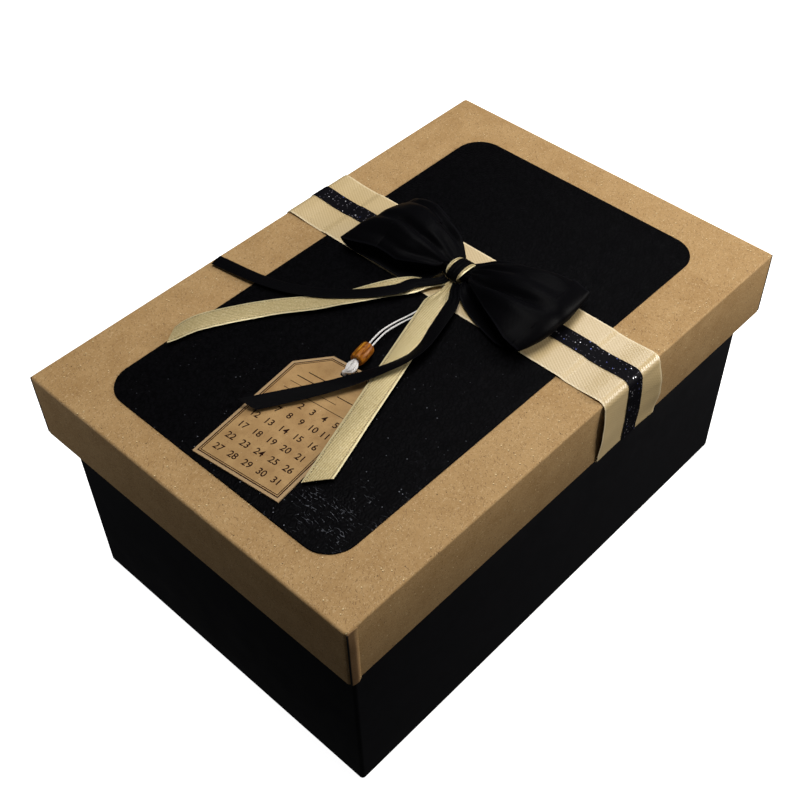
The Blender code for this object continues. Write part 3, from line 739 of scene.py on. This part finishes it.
def twisted_bar(name, path, radius, sides, material, pitch, depth):
    """A bar along a path, grooved so that it reads as two twisted plies."""
    along = unit(np.gradient(path, axis=0))
    side = unit(np.cross(along, np.broadcast_to(UP, along.shape)))
    up = np.cross(side, along)
    angles = np.linspace(0.0, 2 * math.pi, sides, endpoint=False)
    distance = travelled(path)
    turn = 2 * math.pi * distance[:, None] / pitch
    radius = radius * (1 - depth * (1 - np.abs(np.cos(angles - turn))))
    ring = (path[:, None, :]
            + side[:, None, :] * (radius * np.cos(angles))[..., None]
            + up[:, None, :] * (radius * np.sin(angles))[..., None])
    faces = ring_faces(len(path), sides)
    uvs = []
    for first, *_ in faces:
        i, k = divmod(first, sides)
        low, high = distance[i] / MM, distance[i + 1] / MM
        left, right = 2 * k / sides - 1, 2 * (k + 1) / sides - 1
        uvs += [(left, low), (right, low), (right, high), (left, high)]
    last = (len(path) - 1) * sides
    faces.append(tuple(range(sides - 1, -1, -1)))
    faces.append(tuple(range(last, last + sides)))
    uvs += [(0.0, 0.0)] * (2 * sides)
    return make_object(name, ring.reshape(-1, 3), faces, material, uvs)


def join(name, parts):
    """One mesh object from several, which are then removed."""
    vertices = []
    faces = []
    for part in parts:
        offset = len(vertices)
        matrix = part.matrix_world
        vertices += [tuple(matrix @ v.co) for v in part.data.vertices]
        faces += [tuple(offset + i for i in polygon.vertices) for polygon in part.data.polygons]
    material = parts[0].data.materials[0]
    for part in parts:
        bpy.data.objects.remove(part, do_unlink=True)
    return make_object(name, vertices, faces, material)


# ---------------------------------------------------------------- wrapped box


def rounded_outline(half_x, half_y, radius, z, centre=(0.0, 0.0), steps=10):
    points = []
    for quarter, (side_x, side_y) in enumerate(((1, 1), (-1, 1), (-1, -1), (1, -1))):
        for step in range(steps + 1):
            angle = math.pi / 2 * (quarter + step / steps)
            points.append((centre[0] + side_x * (half_x - radius) + radius * math.cos(angle),
                           centre[1] + side_y * (half_y - radius) + radius * math.sin(angle), z))
    return np.array(points)


def lofted(name, rings, material, flip=False):
    """A closed body through rings of equal count, capped at both ends."""
    around = len(rings[0])
    count = len(rings) * around
    faces = ring_faces(len(rings), around)
    faces += [tuple(range(around - 1, -1, -1)), tuple(range(count - around, count))]
    if flip:
        faces = [face[::-1] for face in faces]
    return make_object(name, np.vstack(rings), faces, material)


def wrapped_shell(name, half_x, half_y, face_z, mouth_z, material):
    """Covering paper with softly rounded edges, folded over the mouth and turned in."""
    down = 1 if face_z > mouth_z else -1

    def ring(inset, z):
        return rounded_outline(half_x - inset, half_y - inset, max(CORNER - inset, 0.25 * MM), z)

    rings = [ring(EDGE, face_z)]
    for step in range(1, 7):
        angle = math.pi / 2 * step / 6
        rings.append(ring(EDGE * (1 - math.sin(angle)), face_z - down * EDGE * (1 - math.cos(angle))))
    fold = WALL / 2
    for step in range(7):
        angle = math.pi * step / 6
        reach = PAPER * 1.2
        rings.append(ring(fold - fold * math.cos(angle), mouth_z + down * reach * (1 - math.sin(angle))))
    rings.append(ring(WALL, mouth_z + down * TURN_IN))
    rings.append(ring(WALL - PAPER, mouth_z + down * TURN_IN))
    rings.append(ring(WALL - PAPER, mouth_z + down * PAPER * 2))
    rings.append(ring(PAPER, mouth_z + down * PAPER * 2))
    rings.append(ring(PAPER, face_z - down * EDGE))
    rings.append(ring(EDGE, face_z - down * PAPER))
    return lofted(name, rings, material, flip=down < 0)


def corner_laps(material):
    """At each corner of the lid a strip of paper is lapped round, bulging and lifting at its free edge."""
    width = LAP_WIDTH * MM
    proud = 0.05 * MM
    inward = 0.25 * MM + width / 2
    u = columns_across(LAP_COLUMNS)
    bulge = LAP_BULGE * (1.0 - 0.9 * np.clip((u + 0.2) / 1.2, 0.0, 1.0) ** 1.3)
    for place, side_x, side_y, on_long_side in (("front_left", -1, 1, True), ("front_right", -1, -1, True),
                                                ("back_left", 1, 1, False), ("back_right", 1, -1, False)):
        if on_long_side:
            x, y = side_x * (HALF_LENGTH - inward), side_y * (HALF_WIDTH + proud)
            to_corner = (side_x, 0.0)
            downward = side_x != side_y
        else:
            x, y = side_x * (HALF_LENGTH + proud), side_y * (HALF_WIDTH - inward)
            to_corner = (0.0, side_y)
            downward = side_x == side_y
        path = even(np.array([(x, y, LID_TOP - 1.0 * MM), (x, y, LID_MOUTH - 0.05 * MM)]), 1.2 * MM)
        drop = np.linspace(0.0, 1.0, len(path))[:, None]
        if not downward:
            path, drop = path[::-1], drop[::-1]
        wave = 0.9 + 0.1 * np.sin(9.0 * drop)
        lift = bulge * smoothstep(u, -1.0, -0.2) * smoothstep(drop, -0.05, 0.35) * wave
        lap = Sheet(path, facing(path, *to_corner), width, PAPER, LAP_COLUMNS, lift)
        finish_piece(lap.piece(f"lid_paper_lap_{place}", material), "lid")


def build_box(kraft, lap, black):
    lid = wrapped_shell("lid_paper", HALF_LENGTH, HALF_WIDTH, LID_TOP, LID_MOUTH, kraft)
    finish_piece(lid, "lid", ["lid_wrap"])
    corner_laps(lap)
    base = wrapped_shell("base_paper", BASE_HIGH.x, BASE_HIGH.y, BASE_LOW.z, BASE_HIGH.z, black)
    finish_piece(base, "box_base", ["base_wrap"])


def build_panel(material):
    """Leather-look sheet with a softly rolled edge."""
    half_x = (PANEL_HIGH.x - PANEL_LOW.x) / 2
    half_y = (PANEL_HIGH.y - PANEL_LOW.y) / 2
    centre = ((PANEL_HIGH.x + PANEL_LOW.x) / 2, (PANEL_HIGH.y + PANEL_LOW.y) / 2)
    thickness = PANEL_HIGH.z - PANEL_LOW.z
    low_inset = 0.2 * MM
    rings = [rounded_outline(half_x - low_inset, half_y - low_inset, PANEL_CORNER, PANEL_LOW.z, centre, 16)]
    for step in range(5):
        angle = math.pi / 2 * step / 4
        inset = 0.35 * MM * (1 - math.cos(angle))
        z = PANEL_LOW.z + thickness * (0.4 + 0.6 * math.sin(angle))
        rings.append(rounded_outline(half_x - inset, half_y - inset, PANEL_CORNER - inset, z, centre, 16))
    panel = lofted("leather_panel", rings, material)
    finish_piece(panel, "lid", ["lid_panel"], sharp=60.0)


# ---------------------------------------------------------------- bands


def stand_off(from_edge):
    """How far a band stands off the lid at a distance from the bend."""
    return BAND_STANDOFF * (1.0 - float(smoothstep(from_edge, BAND_BEND, 15.0 * MM)))


def band_path(offset):
    """A band's (y, z) points: up inside one wall, over both long edges and the panel, into the other."""
    inner = HALF_WIDTH - WALL - offset
    flat = LID_TOP + offset
    raised = flat + (PANEL_HIGH.z - LID_TOP)
    clearance = 1.0 * MM
    ramp = 3.5 * MM

    def side(panel_edge):
        points = [(inner, LID_MOUTH + BAND_TUCK), (inner, LID_MOUTH + 1.0 * MM)]
        for step in range(7):
            angle = math.pi * step / 6
            middle = (inner + HALF_WIDTH + offset) / 2
            reach = (HALF_WIDTH + offset - inner) / 2
            points.append((middle - reach * math.cos(angle), LID_MOUTH - offset * math.sin(angle)))
        bend = BAND_BEND + offset
        centre = BAND_BEND - BAND_STANDOFF
        for depth in (26.0, 20.0, 15.0, 11.0, 7.5):
            points.append((HALF_WIDTH + offset + stand_off(depth * MM), LID_TOP - depth * MM))
        for step in range(13):
            angle = math.pi / 2 * step / 12
            points.append((HALF_WIDTH - centre + bend * math.cos(angle),
                           LID_TOP - centre + bend * math.sin(angle)))
        for depth in (6.0, 8.0, 10.0, 12.0, 15.0):
            points.append((HALF_WIDTH - depth * MM, LID_TOP + offset + stand_off(depth * MM)))
        for step in range(7):
            share = step / 6
            rise = share * share * (3 - 2 * share)
            points.append((panel_edge + clearance + ramp * (1 - share), flat + (raised - flat) * rise))
        return points

    left = side(PANEL_HIGH.y)
    right = [(-y, z) for y, z in reversed(side(-PANEL_LOW.y))]
    return left + right


def build_band(name, node, thickness, offset, columns, material):
    low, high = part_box(node)
    x = (low.x + high.x) / 2
    width = high.x - low.x
    path = even(np.array([(x, y, z) for y, z in band_path(offset)]), 0.5 * MM)
    distance = travelled(path)[:, None] / MM
    u = columns_across(columns)
    wave = np.sin(distance / 23.0 + 1.3 * u) + 0.6 * np.sin(distance / 9.0 - 2.1 * u)
    lift = 0.03 * MM * wave
    aside = (x + u * width / 2 - BAND_MIDDLE) / BAND_HALF
    depth = (LID_TOP - path[:, 2:3]) / MM
    outside = smoothstep(-path[:, 1:2], HALF_WIDTH - 1.0 * MM, HALF_WIDTH)
    slack = outside * smoothstep(depth, 0.0, 14.0) * (1.0 - 0.7 * smoothstep(depth, 20.0, 34.0))
    lift = lift + slack * (BAND_SLACK[0] + BAND_SLACK[1] * aside + BAND_SLACK[2] * aside ** 2) * MM
    sheet = Sheet(path, facing(path, 1.0, 0.0), width, thickness, columns, lift)
    slide = outside * smoothstep(depth, 0.0, 34.0) * (BAND_SLIDE[0] + BAND_SLIDE[1] * aside) * MM
    sheet.top[:, :, 0] += slide
    sheet.bottom[:, :, 0] += slide
    band = sheet.piece(name, material)
    finish_piece(band, "lid", [node])


# ---------------------------------------------------------------- bow and knot


def half_opening(reach, full, run, power):
    """Half of the gathered waist, opening to a full half width over a run that starts a little way out."""
    opened = np.clip((reach - BOW_GATHER) / run, 0.0, 1.0)
    return BOW_WAIST / 2 + (full - BOW_WAIST / 2) * opened ** power


def bow_loop(shape):
    """One loop's middle line, widths, fold heights and end bulge."""
    away, height = BOW_PROFILE.T
    flat = np.column_stack([away * shape["stretch"], height, np.zeros(len(away))])
    line = even(through(flat), 0.6)
    reach, height = np.maximum(line[:, 0], 0.0), line[:, 1]
    steps = np.arange(len(line))
    # 1 on the loop's upper layer, 0 on its lower one
    upper = 1.0 - smoothstep(steps, len(line) * 0.42, len(line) * 0.60)
    behind = half_opening(reach, *shape["behind"])
    upper_front = half_opening(reach, *shape["front_upper"])
    lower_front = half_opening(reach, *shape["front_lower"])
    in_front = lower_front + (upper_front - lower_front) * upper
    in_front = in_front + shape["corner"] * smoothstep(reach, 36.0, 50.0) * (0.35 + 0.65 * upper)
    u = columns_across(BOW_COLUMNS)
    far = reach[:, None]
    open_out = smoothstep(far, 6.0, 26.0) * upper[:, None]
    # fine pleats beside the knot, a soft crown, drooping borders, then the loop's own creases
    lift = 0.32 * np.exp(-(far / 10.0) ** 2) * np.cos(5.2 * math.pi * u)
    lift = lift + 0.55 * np.exp(-((far - 13.0) / 7.0) ** 2) * np.cos(4.1 * math.pi * u + 0.8) * upper[:, None]
    lift = lift + open_out * 0.8 * (1 - u ** 2)
    front_droop, back_droop = shape["droop"]
    front = np.clip(u, 0.0, 1.0)
    back = np.clip(-u, 0.0, 1.0)
    lift = lift - open_out * (front_droop * front ** 2.2 + back_droop * back ** 2.2)
    outward = np.clip((far - 12.0) / 36.0, 0.0, 1.0)
    strength = smoothstep(far, 7.0, 20.0) * (1.0 - 0.75 * smoothstep(far, 36.0, 51.0))
    for near, end, depth, spread in shape["creases"]:
        middle = near + (end - near) * outward
        lift = lift - upper[:, None] * depth * strength * np.exp(-((u - middle) / spread) ** 2)
    lift = lift + 0.22 * np.sin(6.0 * u + far / 6.0) * open_out
    front_lean, back_lean = shape["lean"]
    # how far each place across the fold stands out
    bulge = shape["crown"] * (1 - u ** 2) + front_lean * front + back_lean * back
    bulge = bulge * smoothstep(far, 34.0, 50.0)
    x = KNOT[0] / MM + (behind - in_front) / 2
    path = np.column_stack([x, shape["side"] * line[:, 0], height])
    return path, behind + in_front, lift, bulge * shape["side"]


def build_bow(material):
    """One closed ribbon: left loop, waist, right loop, waist."""
    halves = [bow_loop(LEFT_LOOP), [part[::-1] for part in bow_loop(RIGHT_LOOP)]]
    path, width, lift, bulge = (np.concatenate([half[i][:-1] for half in halves]) for i in range(4))
    path = above_lid(path)
    sheet = Sheet(path, facing(path, -1.0, 0.0), width * MM, BOW_THICKNESS, BOW_COLUMNS, lift * MM,
                  closed=True)
    sheet.top[:, :, 1] += bulge * MM
    sheet.bottom[:, :, 1] += bulge * MM
    bow = sheet.piece("satin_bow", material)
    finish_piece(bow, "lid", ["bow"], sharp=70.0)


def build_knot_wrap(name, node, widths, thickness, pleats, material):
    """A gathered ring round the waist; widths are at its crest and at its foot, in millimetres."""
    low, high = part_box(node)
    half_length = (high.x - low.x - thickness) / 2
    half_height = (high.z - low.z - thickness) / 2
    angles = np.linspace(0.0, 2 * math.pi, 120, endpoint=False)
    x = KNOT[0] + half_length * np.cos(angles)
    z = KNOT[2] + half_height * np.sin(angles)
    path = np.column_stack([x, np.full(len(x), KNOT[1]), z])
    crest = np.clip(np.sin(angles), 0.0, 1.0)
    width = (widths[1] + (widths[0] - widths[1]) * crest ** 0.7) * MM
    u = columns_across(WRAP_COLUMNS)
    lift = WRAP_PLEAT * np.cos(pleats * math.pi * u + 0.4 * np.sin(angles)[:, None])
    sheet = Sheet(path, facing(path, 0.0, -1.0), width, thickness, WRAP_COLUMNS, lift, closed=True)
    finish_piece(sheet.piece(name, material), "lid", [node])


# ---------------------------------------------------------------- tails


def build_tail(node, finish, bodies, points, width, roll, skew=0.0, crown=0.2):
    """A loose ribbon end, cut past the hinge into one piece per pair of neighbouring bodies, none attached to a
    body.

    Finish is (material, slot, thickness), and its slot is not used; roll is (share of the length, degrees)
    pairs.
    Skew slants the cut end and crown bows the ribbon across, both in millimetres like the width.
    """
    material, slot, thickness = finish
    path = even(through(above_lid(points)), 0.6 * MM)
    distance = travelled(path)
    share = distance / distance[-1]
    angles = np.interp(share, [place for place, _ in roll], [angle for _, angle in roll])
    across = turned_across(path, angles)
    gather = smoothstep(distance, GATHER_END, OPEN_START)
    widths = GATHERED_WIDTH + (width * MM - GATHERED_WIDTH) * gather
    u = columns_across(TAIL_COLUMNS)
    fold = (1 - gather)[:, None]
    lift = TAIL_PLEAT * fold * np.cos(2.6 * math.pi * u)
    lift = lift + crown * MM * (1 - u ** 2) * gather[:, None]
    lift = lift + TAIL_RIPPLE * np.sin(distance[:, None] / (7.0 * MM) + 1.5 * u)
    slant = skew * MM / 2 * u * smoothstep(distance, distance[-1] - SLANT_RUN, distance[-1])[:, None]
    sheet = Sheet(path, across, widths, thickness, TAIL_COLUMNS, lift, slant)
    hinge = sheet.station_at(0, HINGE_X)
    per_bend = int(round(HINGE_BEND / (distance[1] - distance[0])))
    start = 0
    for i, (body, following) in enumerate(zip(bodies, bodies[1:])):
        bend_start = hinge + i * per_bend
        bend_end = bend_start + per_bend
        last = following == bodies[-1]
        stop = len(path) - 1 if last else bend_end
        name = node + ("_ribbon" if last else f"_root_{i + 1}")
        part = sheet.piece(name, material, start, stop)
        finish_piece(part)
        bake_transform(part)
        if last:
            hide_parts(node)
        start = stop


def build_tails(gold, black):
    gold_finish = (gold, "gold_satin", GOLD_THICKNESS)
    black_finish = (black, "black_satin", BLACK_THICKNESS)
    build_tail("gold_tail_front", gold_finish, ("lid", "tag_line", "gold_front"), [
        (23.0, -0.6, 3.2), (18.5, -1.5, 3.1), (8.5, -3.9, 3.5), (-5.0, -8.6, 4.1), (-21.4, -14.0, 4.4),
        (-60.0, -26.0, 3.3), (-98.6, -38.2, 2.4),
    ], 10.8, ((0.0, 0.0), (0.3, -4.0), (1.0, 0.0)), skew=-7.0, crown=0.25)
    build_tail("black_tail_front", black_finish, ("lid", "tag_line", "gold_front", "black_front"), [
        (22.6, -3.4, 4.0), (18.5, -5.6, 4.0), (11.5, -10.4, 4.4), (-5.0, -16.0, 4.9), (-17.5, -19.6, 5.2),
        (-27.5, -20.2, 5.6), (-41.0, -16.8, 5.9), (-62.5, -6.2, 4.8), (-91.0, 11.0, 4.5),
    ], 6.4, ((0.0, 0.0), (0.3, 14.0), (0.42, 24.0), (0.52, 20.0), (0.66, -2.0), (0.8, -12.0), (1.0, -24.0)),
        skew=-6.0)
    build_tail("gold_tail_left", gold_finish, ("lid", "gold_left"), [
        (22.8, 2.6, 3.1), (18.5, 4.5, 3.0), (8.0, 13.0, 3.2), (-1.6, 19.7, 3.0), (-15.0, 27.4, 2.8),
        (-27.0, 35.6, 2.5), (-43.5, 49.0, 2.3), (-68.7, 64.3, 2.1), (-84.0, 68.4, 1.9),
    ], 10.2, ((0.0, 0.0), (0.18, -8.0), (0.4, 10.0), (0.7, -4.0), (0.88, 0.0), (1.0, 14.0)), skew=8.0)
    build_tail("black_tail_left", black_finish, ("lid", "gold_left", "black_left"), [
        (22.8, 3.2, 4.0), (18.5, 4.5, 3.9), (10.0, 11.4, 4.1), (1.2, 15.0, 4.0), (-14.0, 27.7, 3.8),
        (-26.0, 45.5, 2.9), (-33.2, 65.7, 2.0), (-37.6, 92.4, 1.4),
    ], 6.4, ((0.0, 0.0), (0.5, 3.0), (1.0, 0.0)), crown=0.15)


# ---------------------------------------------------------------- tag, cord and bead


def tag_outline():
    right = [(TAG_TOP, TAG_TOP_HALF), (TAG_SHOULDER, TAG_HALF), (TAG_FOOT, TAG_HALF)]
    return right + [(x, -y) for x, y in reversed(right)]


def inset_outline(outline, distance):
    """A convex anticlockwise outline moved inwards by a distance."""
    lines = []
    count = len(outline)
    for i in range(count):
        start = Vector(outline[i])
        end = Vector(outline[(i + 1) % count])
        direction = (end - start).normalized()
        inward = Vector((-direction.y, direction.x))
        lines.append((start + inward * distance, direction))
    result = []
    for i in range(count):
        (p, d), (q, e) = lines[i - 1], lines[i]
        t = ((q - p).x * e.y - (q - p).y * e.x) / (d.x * e.y - d.y * e.x)
        result.append(tuple(p + d * t))
    return result


def on_tag(z):
    """Places tag coordinates (millimetres, origin at the hole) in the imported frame."""
    return (Matrix.Translation(Vector((TAG_HOLE.x, TAG_HOLE.y, z)))
            @ Matrix.Rotation(TAG_ANGLE, 4, "Z") @ Matrix.Scale(MM, 4))


def curve_solid(name, outlines, thickness, bevel, material, matrix):
    """A flat card from closed outlines; the second and later ones are holes."""
    curve = bpy.data.curves.new(name, "CURVE")
    curve.dimensions = "2D"
    curve.fill_mode = "BOTH"
    curve.extrude = thickness / 2 - bevel
    curve.bevel_depth = bevel
    curve.bevel_resolution = 2
    for outline in outlines:
        spline = curve.splines.new("POLY")
        spline.points.add(len(outline) - 1)
        for point, (x, y) in zip(spline.points, outline):
            point.co = (x, y, 0.0, 1.0)
        spline.use_cyclic_u = True
    return as_mesh(name, curve, material, matrix)


def as_mesh(name, curve, material, matrix):
    """Turns curve or text data into a mesh object placed by a matrix."""
    source = add_object(name + "_source", curve)
    bpy.context.view_layer.update()
    mesh = bpy.data.meshes.new_from_object(source.evaluated_get(bpy.context.evaluated_depsgraph_get()))
    bpy.data.objects.remove(source, do_unlink=True)
    mesh.name = name
    mesh.materials.clear()
    mesh.materials.append(material)
    mesh.transform(matrix)
    return add_object(name, mesh)


def weld(thing):
    """Closes the doubled edges that a filled curve leaves."""
    builder = bmesh.new()
    builder.from_mesh(thing.data)
    bmesh.ops.remove_doubles(builder, verts=builder.verts, dist=1e-7)
    bmesh.ops.recalc_face_normals(builder, faces=builder.faces)
    builder.to_mesh(thing.data)
    builder.free()
    return thing


def circle(radius, steps=32):
    return [(radius * math.cos(a), radius * math.sin(a)) for a in np.linspace(0, 2 * math.pi, steps, False)]


def number(value, x, y, material, z):
    """One calendar number, reading across the tag with its top towards the hole."""
    text = bpy.data.curves.new(f"number_{value}", "FONT")
    text.body = str(value)
    text.size = NUMBER_SIZE
    text.align_x = "CENTER"
    text.align_y = "CENTER"
    text.extrude = 0.015
    text.offset = 0.055
    placed = on_tag(z) @ Matrix.Translation((x, y, 0.0)) @ Matrix.Rotation(-math.pi / 2, 4, "Z")
    return weld(as_mesh(f"number_{value}", text, material, placed))


def build_tag(card, rim, ink):
    """Card with a pale rim, two border lines, ruled heading lines and the month's numbers."""
    middle = (TAG_LOW.z + TAG_HIGH.z) / 2
    thickness = (TAG_HIGH.z - TAG_LOW.z) / MM
    ink_z = TAG_HIGH.z + INK_RISE
    outer = tag_outline()
    body = weld(curve_solid("tag_card", [outer, circle(HOLE_RADIUS)], thickness - 0.06, 0.12, rim,
                            on_tag(middle - 0.03 * MM)))
    finish_piece(body, "tag", ["tag"])
    face_outlines = [inset_outline(outer, TAG_RIM), circle(HOLE_RADIUS + HOLE_RIM)]
    face = weld(curve_solid("tag_face", face_outlines, FACE_THICKNESS, 0.01, card,
                            on_tag(TAG_HIGH.z - 0.035 * MM)))
    finish_piece(face, "tag")

    def mark(outlines):
        return weld(curve_solid("mark", outlines, INK_THICKNESS, 0.005, ink, on_tag(ink_z)))

    marks = [mark([inset_outline(outer, inset), inset_outline(outer, inset + line)])
             for inset, line in TAG_BORDERS]
    for x, left, right, line in TAG_RULES:
        low, high = x - line / 2, x + line / 2
        marks.append(mark([[(low, right), (high, right), (high, left), (low, left)]]))
    for x, first, step, values in TAG_ROWS:
        marks += [number(value, x, first + step * i, ink, ink_z) for i, value in enumerate(values)]
    printed = join("tag_print", marks)
    finish_piece(printed, "tag")


def build_cord(material):
    """Two silvery strands from the knot through the bead, and the bunched hitch at the tag's hole."""
    straight_start = BEAD_CENTRE + BEAD_ALONG * (BEAD_LENGTH / 2 + CORD_RUN)
    straight_end = BEAD_CENTRE - BEAD_ALONG * (BEAD_LENGTH / 2 + 1.0)
    middle = through(np.vstack([CORD_PATH, straight_start, BEAD_CENTRE, straight_end]))
    apart = 1.0 + 0.3 * np.sin(np.linspace(0.0, math.pi, len(middle)))
    for name, side in (("cord_strand_left", CORD_APART), ("cord_strand_right", -CORD_APART)):
        path = even(above_lid(middle + BEAD_ASIDE * (side * apart)[:, None]), 0.22 * MM)
        strand = twisted_bar(name + "_thread", path, CORD_RADIUS, 12, material, CORD_PITCH, 0.35)
        finish_piece(strand, replaces=[name], sharp=80.0)
        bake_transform(strand)
    start = BEAD_CENTRE - BEAD_ALONG * (BEAD_LENGTH / 2 + 0.2)
    plies = []
    for i in range(OUTER_PLIES + 1):
        turn = 2 * math.pi * i / OUTER_PLIES
        spread = 0.0 if i == OUTER_PLIES else 1.0
        side = math.cos(turn) * spread
        rise = math.sin(turn) * spread
        path = np.array([
            start + BEAD_ASIDE * side * 0.75 + UP * (rise * 0.7),
            start - BEAD_ALONG * 2.4 + BEAD_ASIDE * side * 2.0 + UP * (rise * 1.1 - 0.6),
            start - BEAD_ALONG * 5.0 + BEAD_ASIDE * side * 1.5 + UP * (rise * 0.8 - 1.35),
            (HOLE_X + 0.3 + 0.4 * side, HOLE_Y + 0.4 * rise, 2.5),
            (HOLE_X + 0.3 * side, HOLE_Y + 0.3 * rise, 1.0),
        ])
        line = even(above_lid(through(path)), 0.2 * MM)
        plies.append(twisted_bar(f"ply_{i}", line, PLY_RADIUS, 10, material, PLY_PITCH, 0.3))
    hitch = join("cord_hitch_plies", plies)
    finish_piece(hitch, "tag_line", ["cord_hitch"], sharp=80.0)


def build_bead(material):
    """Barrel bead with rounded shoulders and a bore."""
    half = BEAD_LENGTH / 2
    edge = BEAD_RADIUS - 0.3 - BEAD_SHOULDER
    end = [(-half, BEAD_BORE), (-half, BEAD_BORE + 0.7)]
    end += [(-half + BEAD_SHOULDER * (1 - math.cos(turn)), edge + BEAD_SHOULDER * math.sin(turn))
            for turn in np.linspace(0.1, 1.5, 7)]
    barrel = [(x, BEAD_RADIUS - 0.012 * x * x) for x in np.linspace(-half + 1.6, half - 1.6, 9)]
    profile = end + barrel + [(-x, radius) for x, radius in reversed(end)]
    steps = 56
    count = len(profile)
    centre = above_lid([BEAD_CENTRE])[0]
    vertices = []
    for i in range(steps):
        angle = 2 * math.pi * i / steps
        outward = BEAD_ASIDE * math.cos(angle) + UP * math.sin(angle)
        vertices += [centre + (BEAD_ALONG * x + outward * radius) * MM for x, radius in profile]
    faces = [(a, d, c, b) for a, b, c, d in ring_faces(steps, count, closed=True)]
    bead = make_object("wooden_bead", vertices, faces, material)
    finish_piece(bead, "bead", ["bead"])


# ---------------------------------------------------------------- stage


def build_stage():
    scene = bpy.context.scene
    scene.view_settings.view_transform = "Standard"
    world = bpy.data.worlds.new("studio")
    scene.world = world
    world.use_nodes = True
    tree = world.node_tree
    background = tree.nodes["Background"]
    background.inputs["Color"].default_value = (1.0, 1.0, 1.0, 1.0)
    path = tree.nodes.new("ShaderNodeLightPath")
    strength = tree.nodes.new("ShaderNodeMapRange")
    strength.inputs["To Min"].default_value = SKY_LIGHT
    strength.inputs["To Max"].default_value = SKY_SEEN
    tree.links.new(path.outputs["Is Camera Ray"], strength.inputs["Value"])
    tree.links.new(strength.outputs[0], background.inputs["Strength"])

    s = Shader("floor", 0.9)
    tone = s.mix(s.noise(3.0), (0.84, 0.84, 0.84), (0.88, 0.88, 0.88))
    plain = s.finished(Base_Color=tone, Emission_Color=tone, Emission_Strength=FLOOR_GLOW,
                       Specular_IOR_Level=0.0)
    reach = 3.0
    corners = [(-reach, -reach, 0), (reach, -reach, 0), (reach, reach, 0), (-reach, reach, 0)]
    floor = make_object("floor", corners, [(0, 1, 2, 3)], plain)
    floor.location.z = -0.0005
    floor.visible_diffuse = False
    floor.visible_glossy = False

    for name, (energy, size, position, target, colour) in LIGHTS.items():
        light = bpy.data.lights.new(name, "AREA")
        light.shape = "RECTANGLE"
        light.size, light.size_y = size
        light.energy = energy
        light.color = colour
        lamp = add_object(name, light)
        lamp.visible_camera = False
        lamp.location = position
        lamp.rotation_euler = (Vector(target) - Vector(position)).to_track_quat("-Z", "Y").to_euler()


def build_camera():
    """Looks down at the front corner, from a place measured in lid lengths."""
    data = bpy.data.cameras.new("camera")
    data.sensor_width = CAMERA_SENSOR
    data.lens = CAMERA_LENS
    data.shift_x, data.shift_y = CAMERA_SHIFT
    data.clip_start, data.clip_end = 0.01, 20.0
    camera = add_object("camera", data)
    length = LID_HIGH.x - LID_LOW.x
    camera.location = Vector(CAMERA_PLACE) * length + Vector((0.0, 0.0, LID_TOP))
    level = math.cos(CAMERA_ELEVATION)
    ahead = Vector((-math.sin(CAMERA_AZIMUTH) * level, math.cos(CAMERA_AZIMUTH) * level,
                    -math.sin(CAMERA_ELEVATION)))
    camera.rotation_mode = "QUATERNION"
    roll = Matrix.Rotation(CAMERA_ROLL, 3, "Z").to_quaternion()
    camera.rotation_quaternion = ahead.to_track_quat("-Z", "Y") @ roll
    bpy.context.scene.camera = camera


def assign_inner_materials():
    """The hidden papers and boards keep their CAD shapes and get their own finishes."""
    board = greyboard()
    lining = plain_finish("lining_paper")
    stays = plain_finish("gummed_paper")
    glue = plain_finish("set_glue")
    for node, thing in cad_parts.items():
        if node.endswith("_board"):
            finish = board
        elif node.endswith("_liner"):
            finish = lining
        elif "_corner_stay_" in node:
            finish = stays
        elif node == "bow_glue_pad":
            finish = glue
        else:
            continue
        thing.data.materials.clear()
        thing.data.materials.append(finish)


def main():
    kraft = kraft_paper()
    black = black_paper()
    satin = black_satin()
    gold = gold_satin()
    build_box(kraft, kraft_lap(), black)
    build_panel(leatherette())
    build_band("cream_band", "band_wide", 0.35 * MM, 0.275 * MM, 28, cream_satin())
    build_band("glitter_band", "band_narrow", 0.25 * MM, 0.675 * MM, 12, glitter_ribbon())
    build_bow(satin)
    build_knot_wrap("gold_wrap", "gold_knot_wrap", (9.8, 5.6), GOLD_THICKNESS, 5.0, gold)
    build_knot_wrap("black_wrap", "black_knot_wrap", (5.8, 5.8), BLACK_THICKNESS, 3.0, satin)
    build_tails(gold, satin)
    build_tag(tag_card(), plain_finish("tag_card_rim"), print_ink())
    build_cord(cord_thread())
    build_bead(bead_wood())
    assign_inner_materials()
    build_stage()
    build_camera()


main()
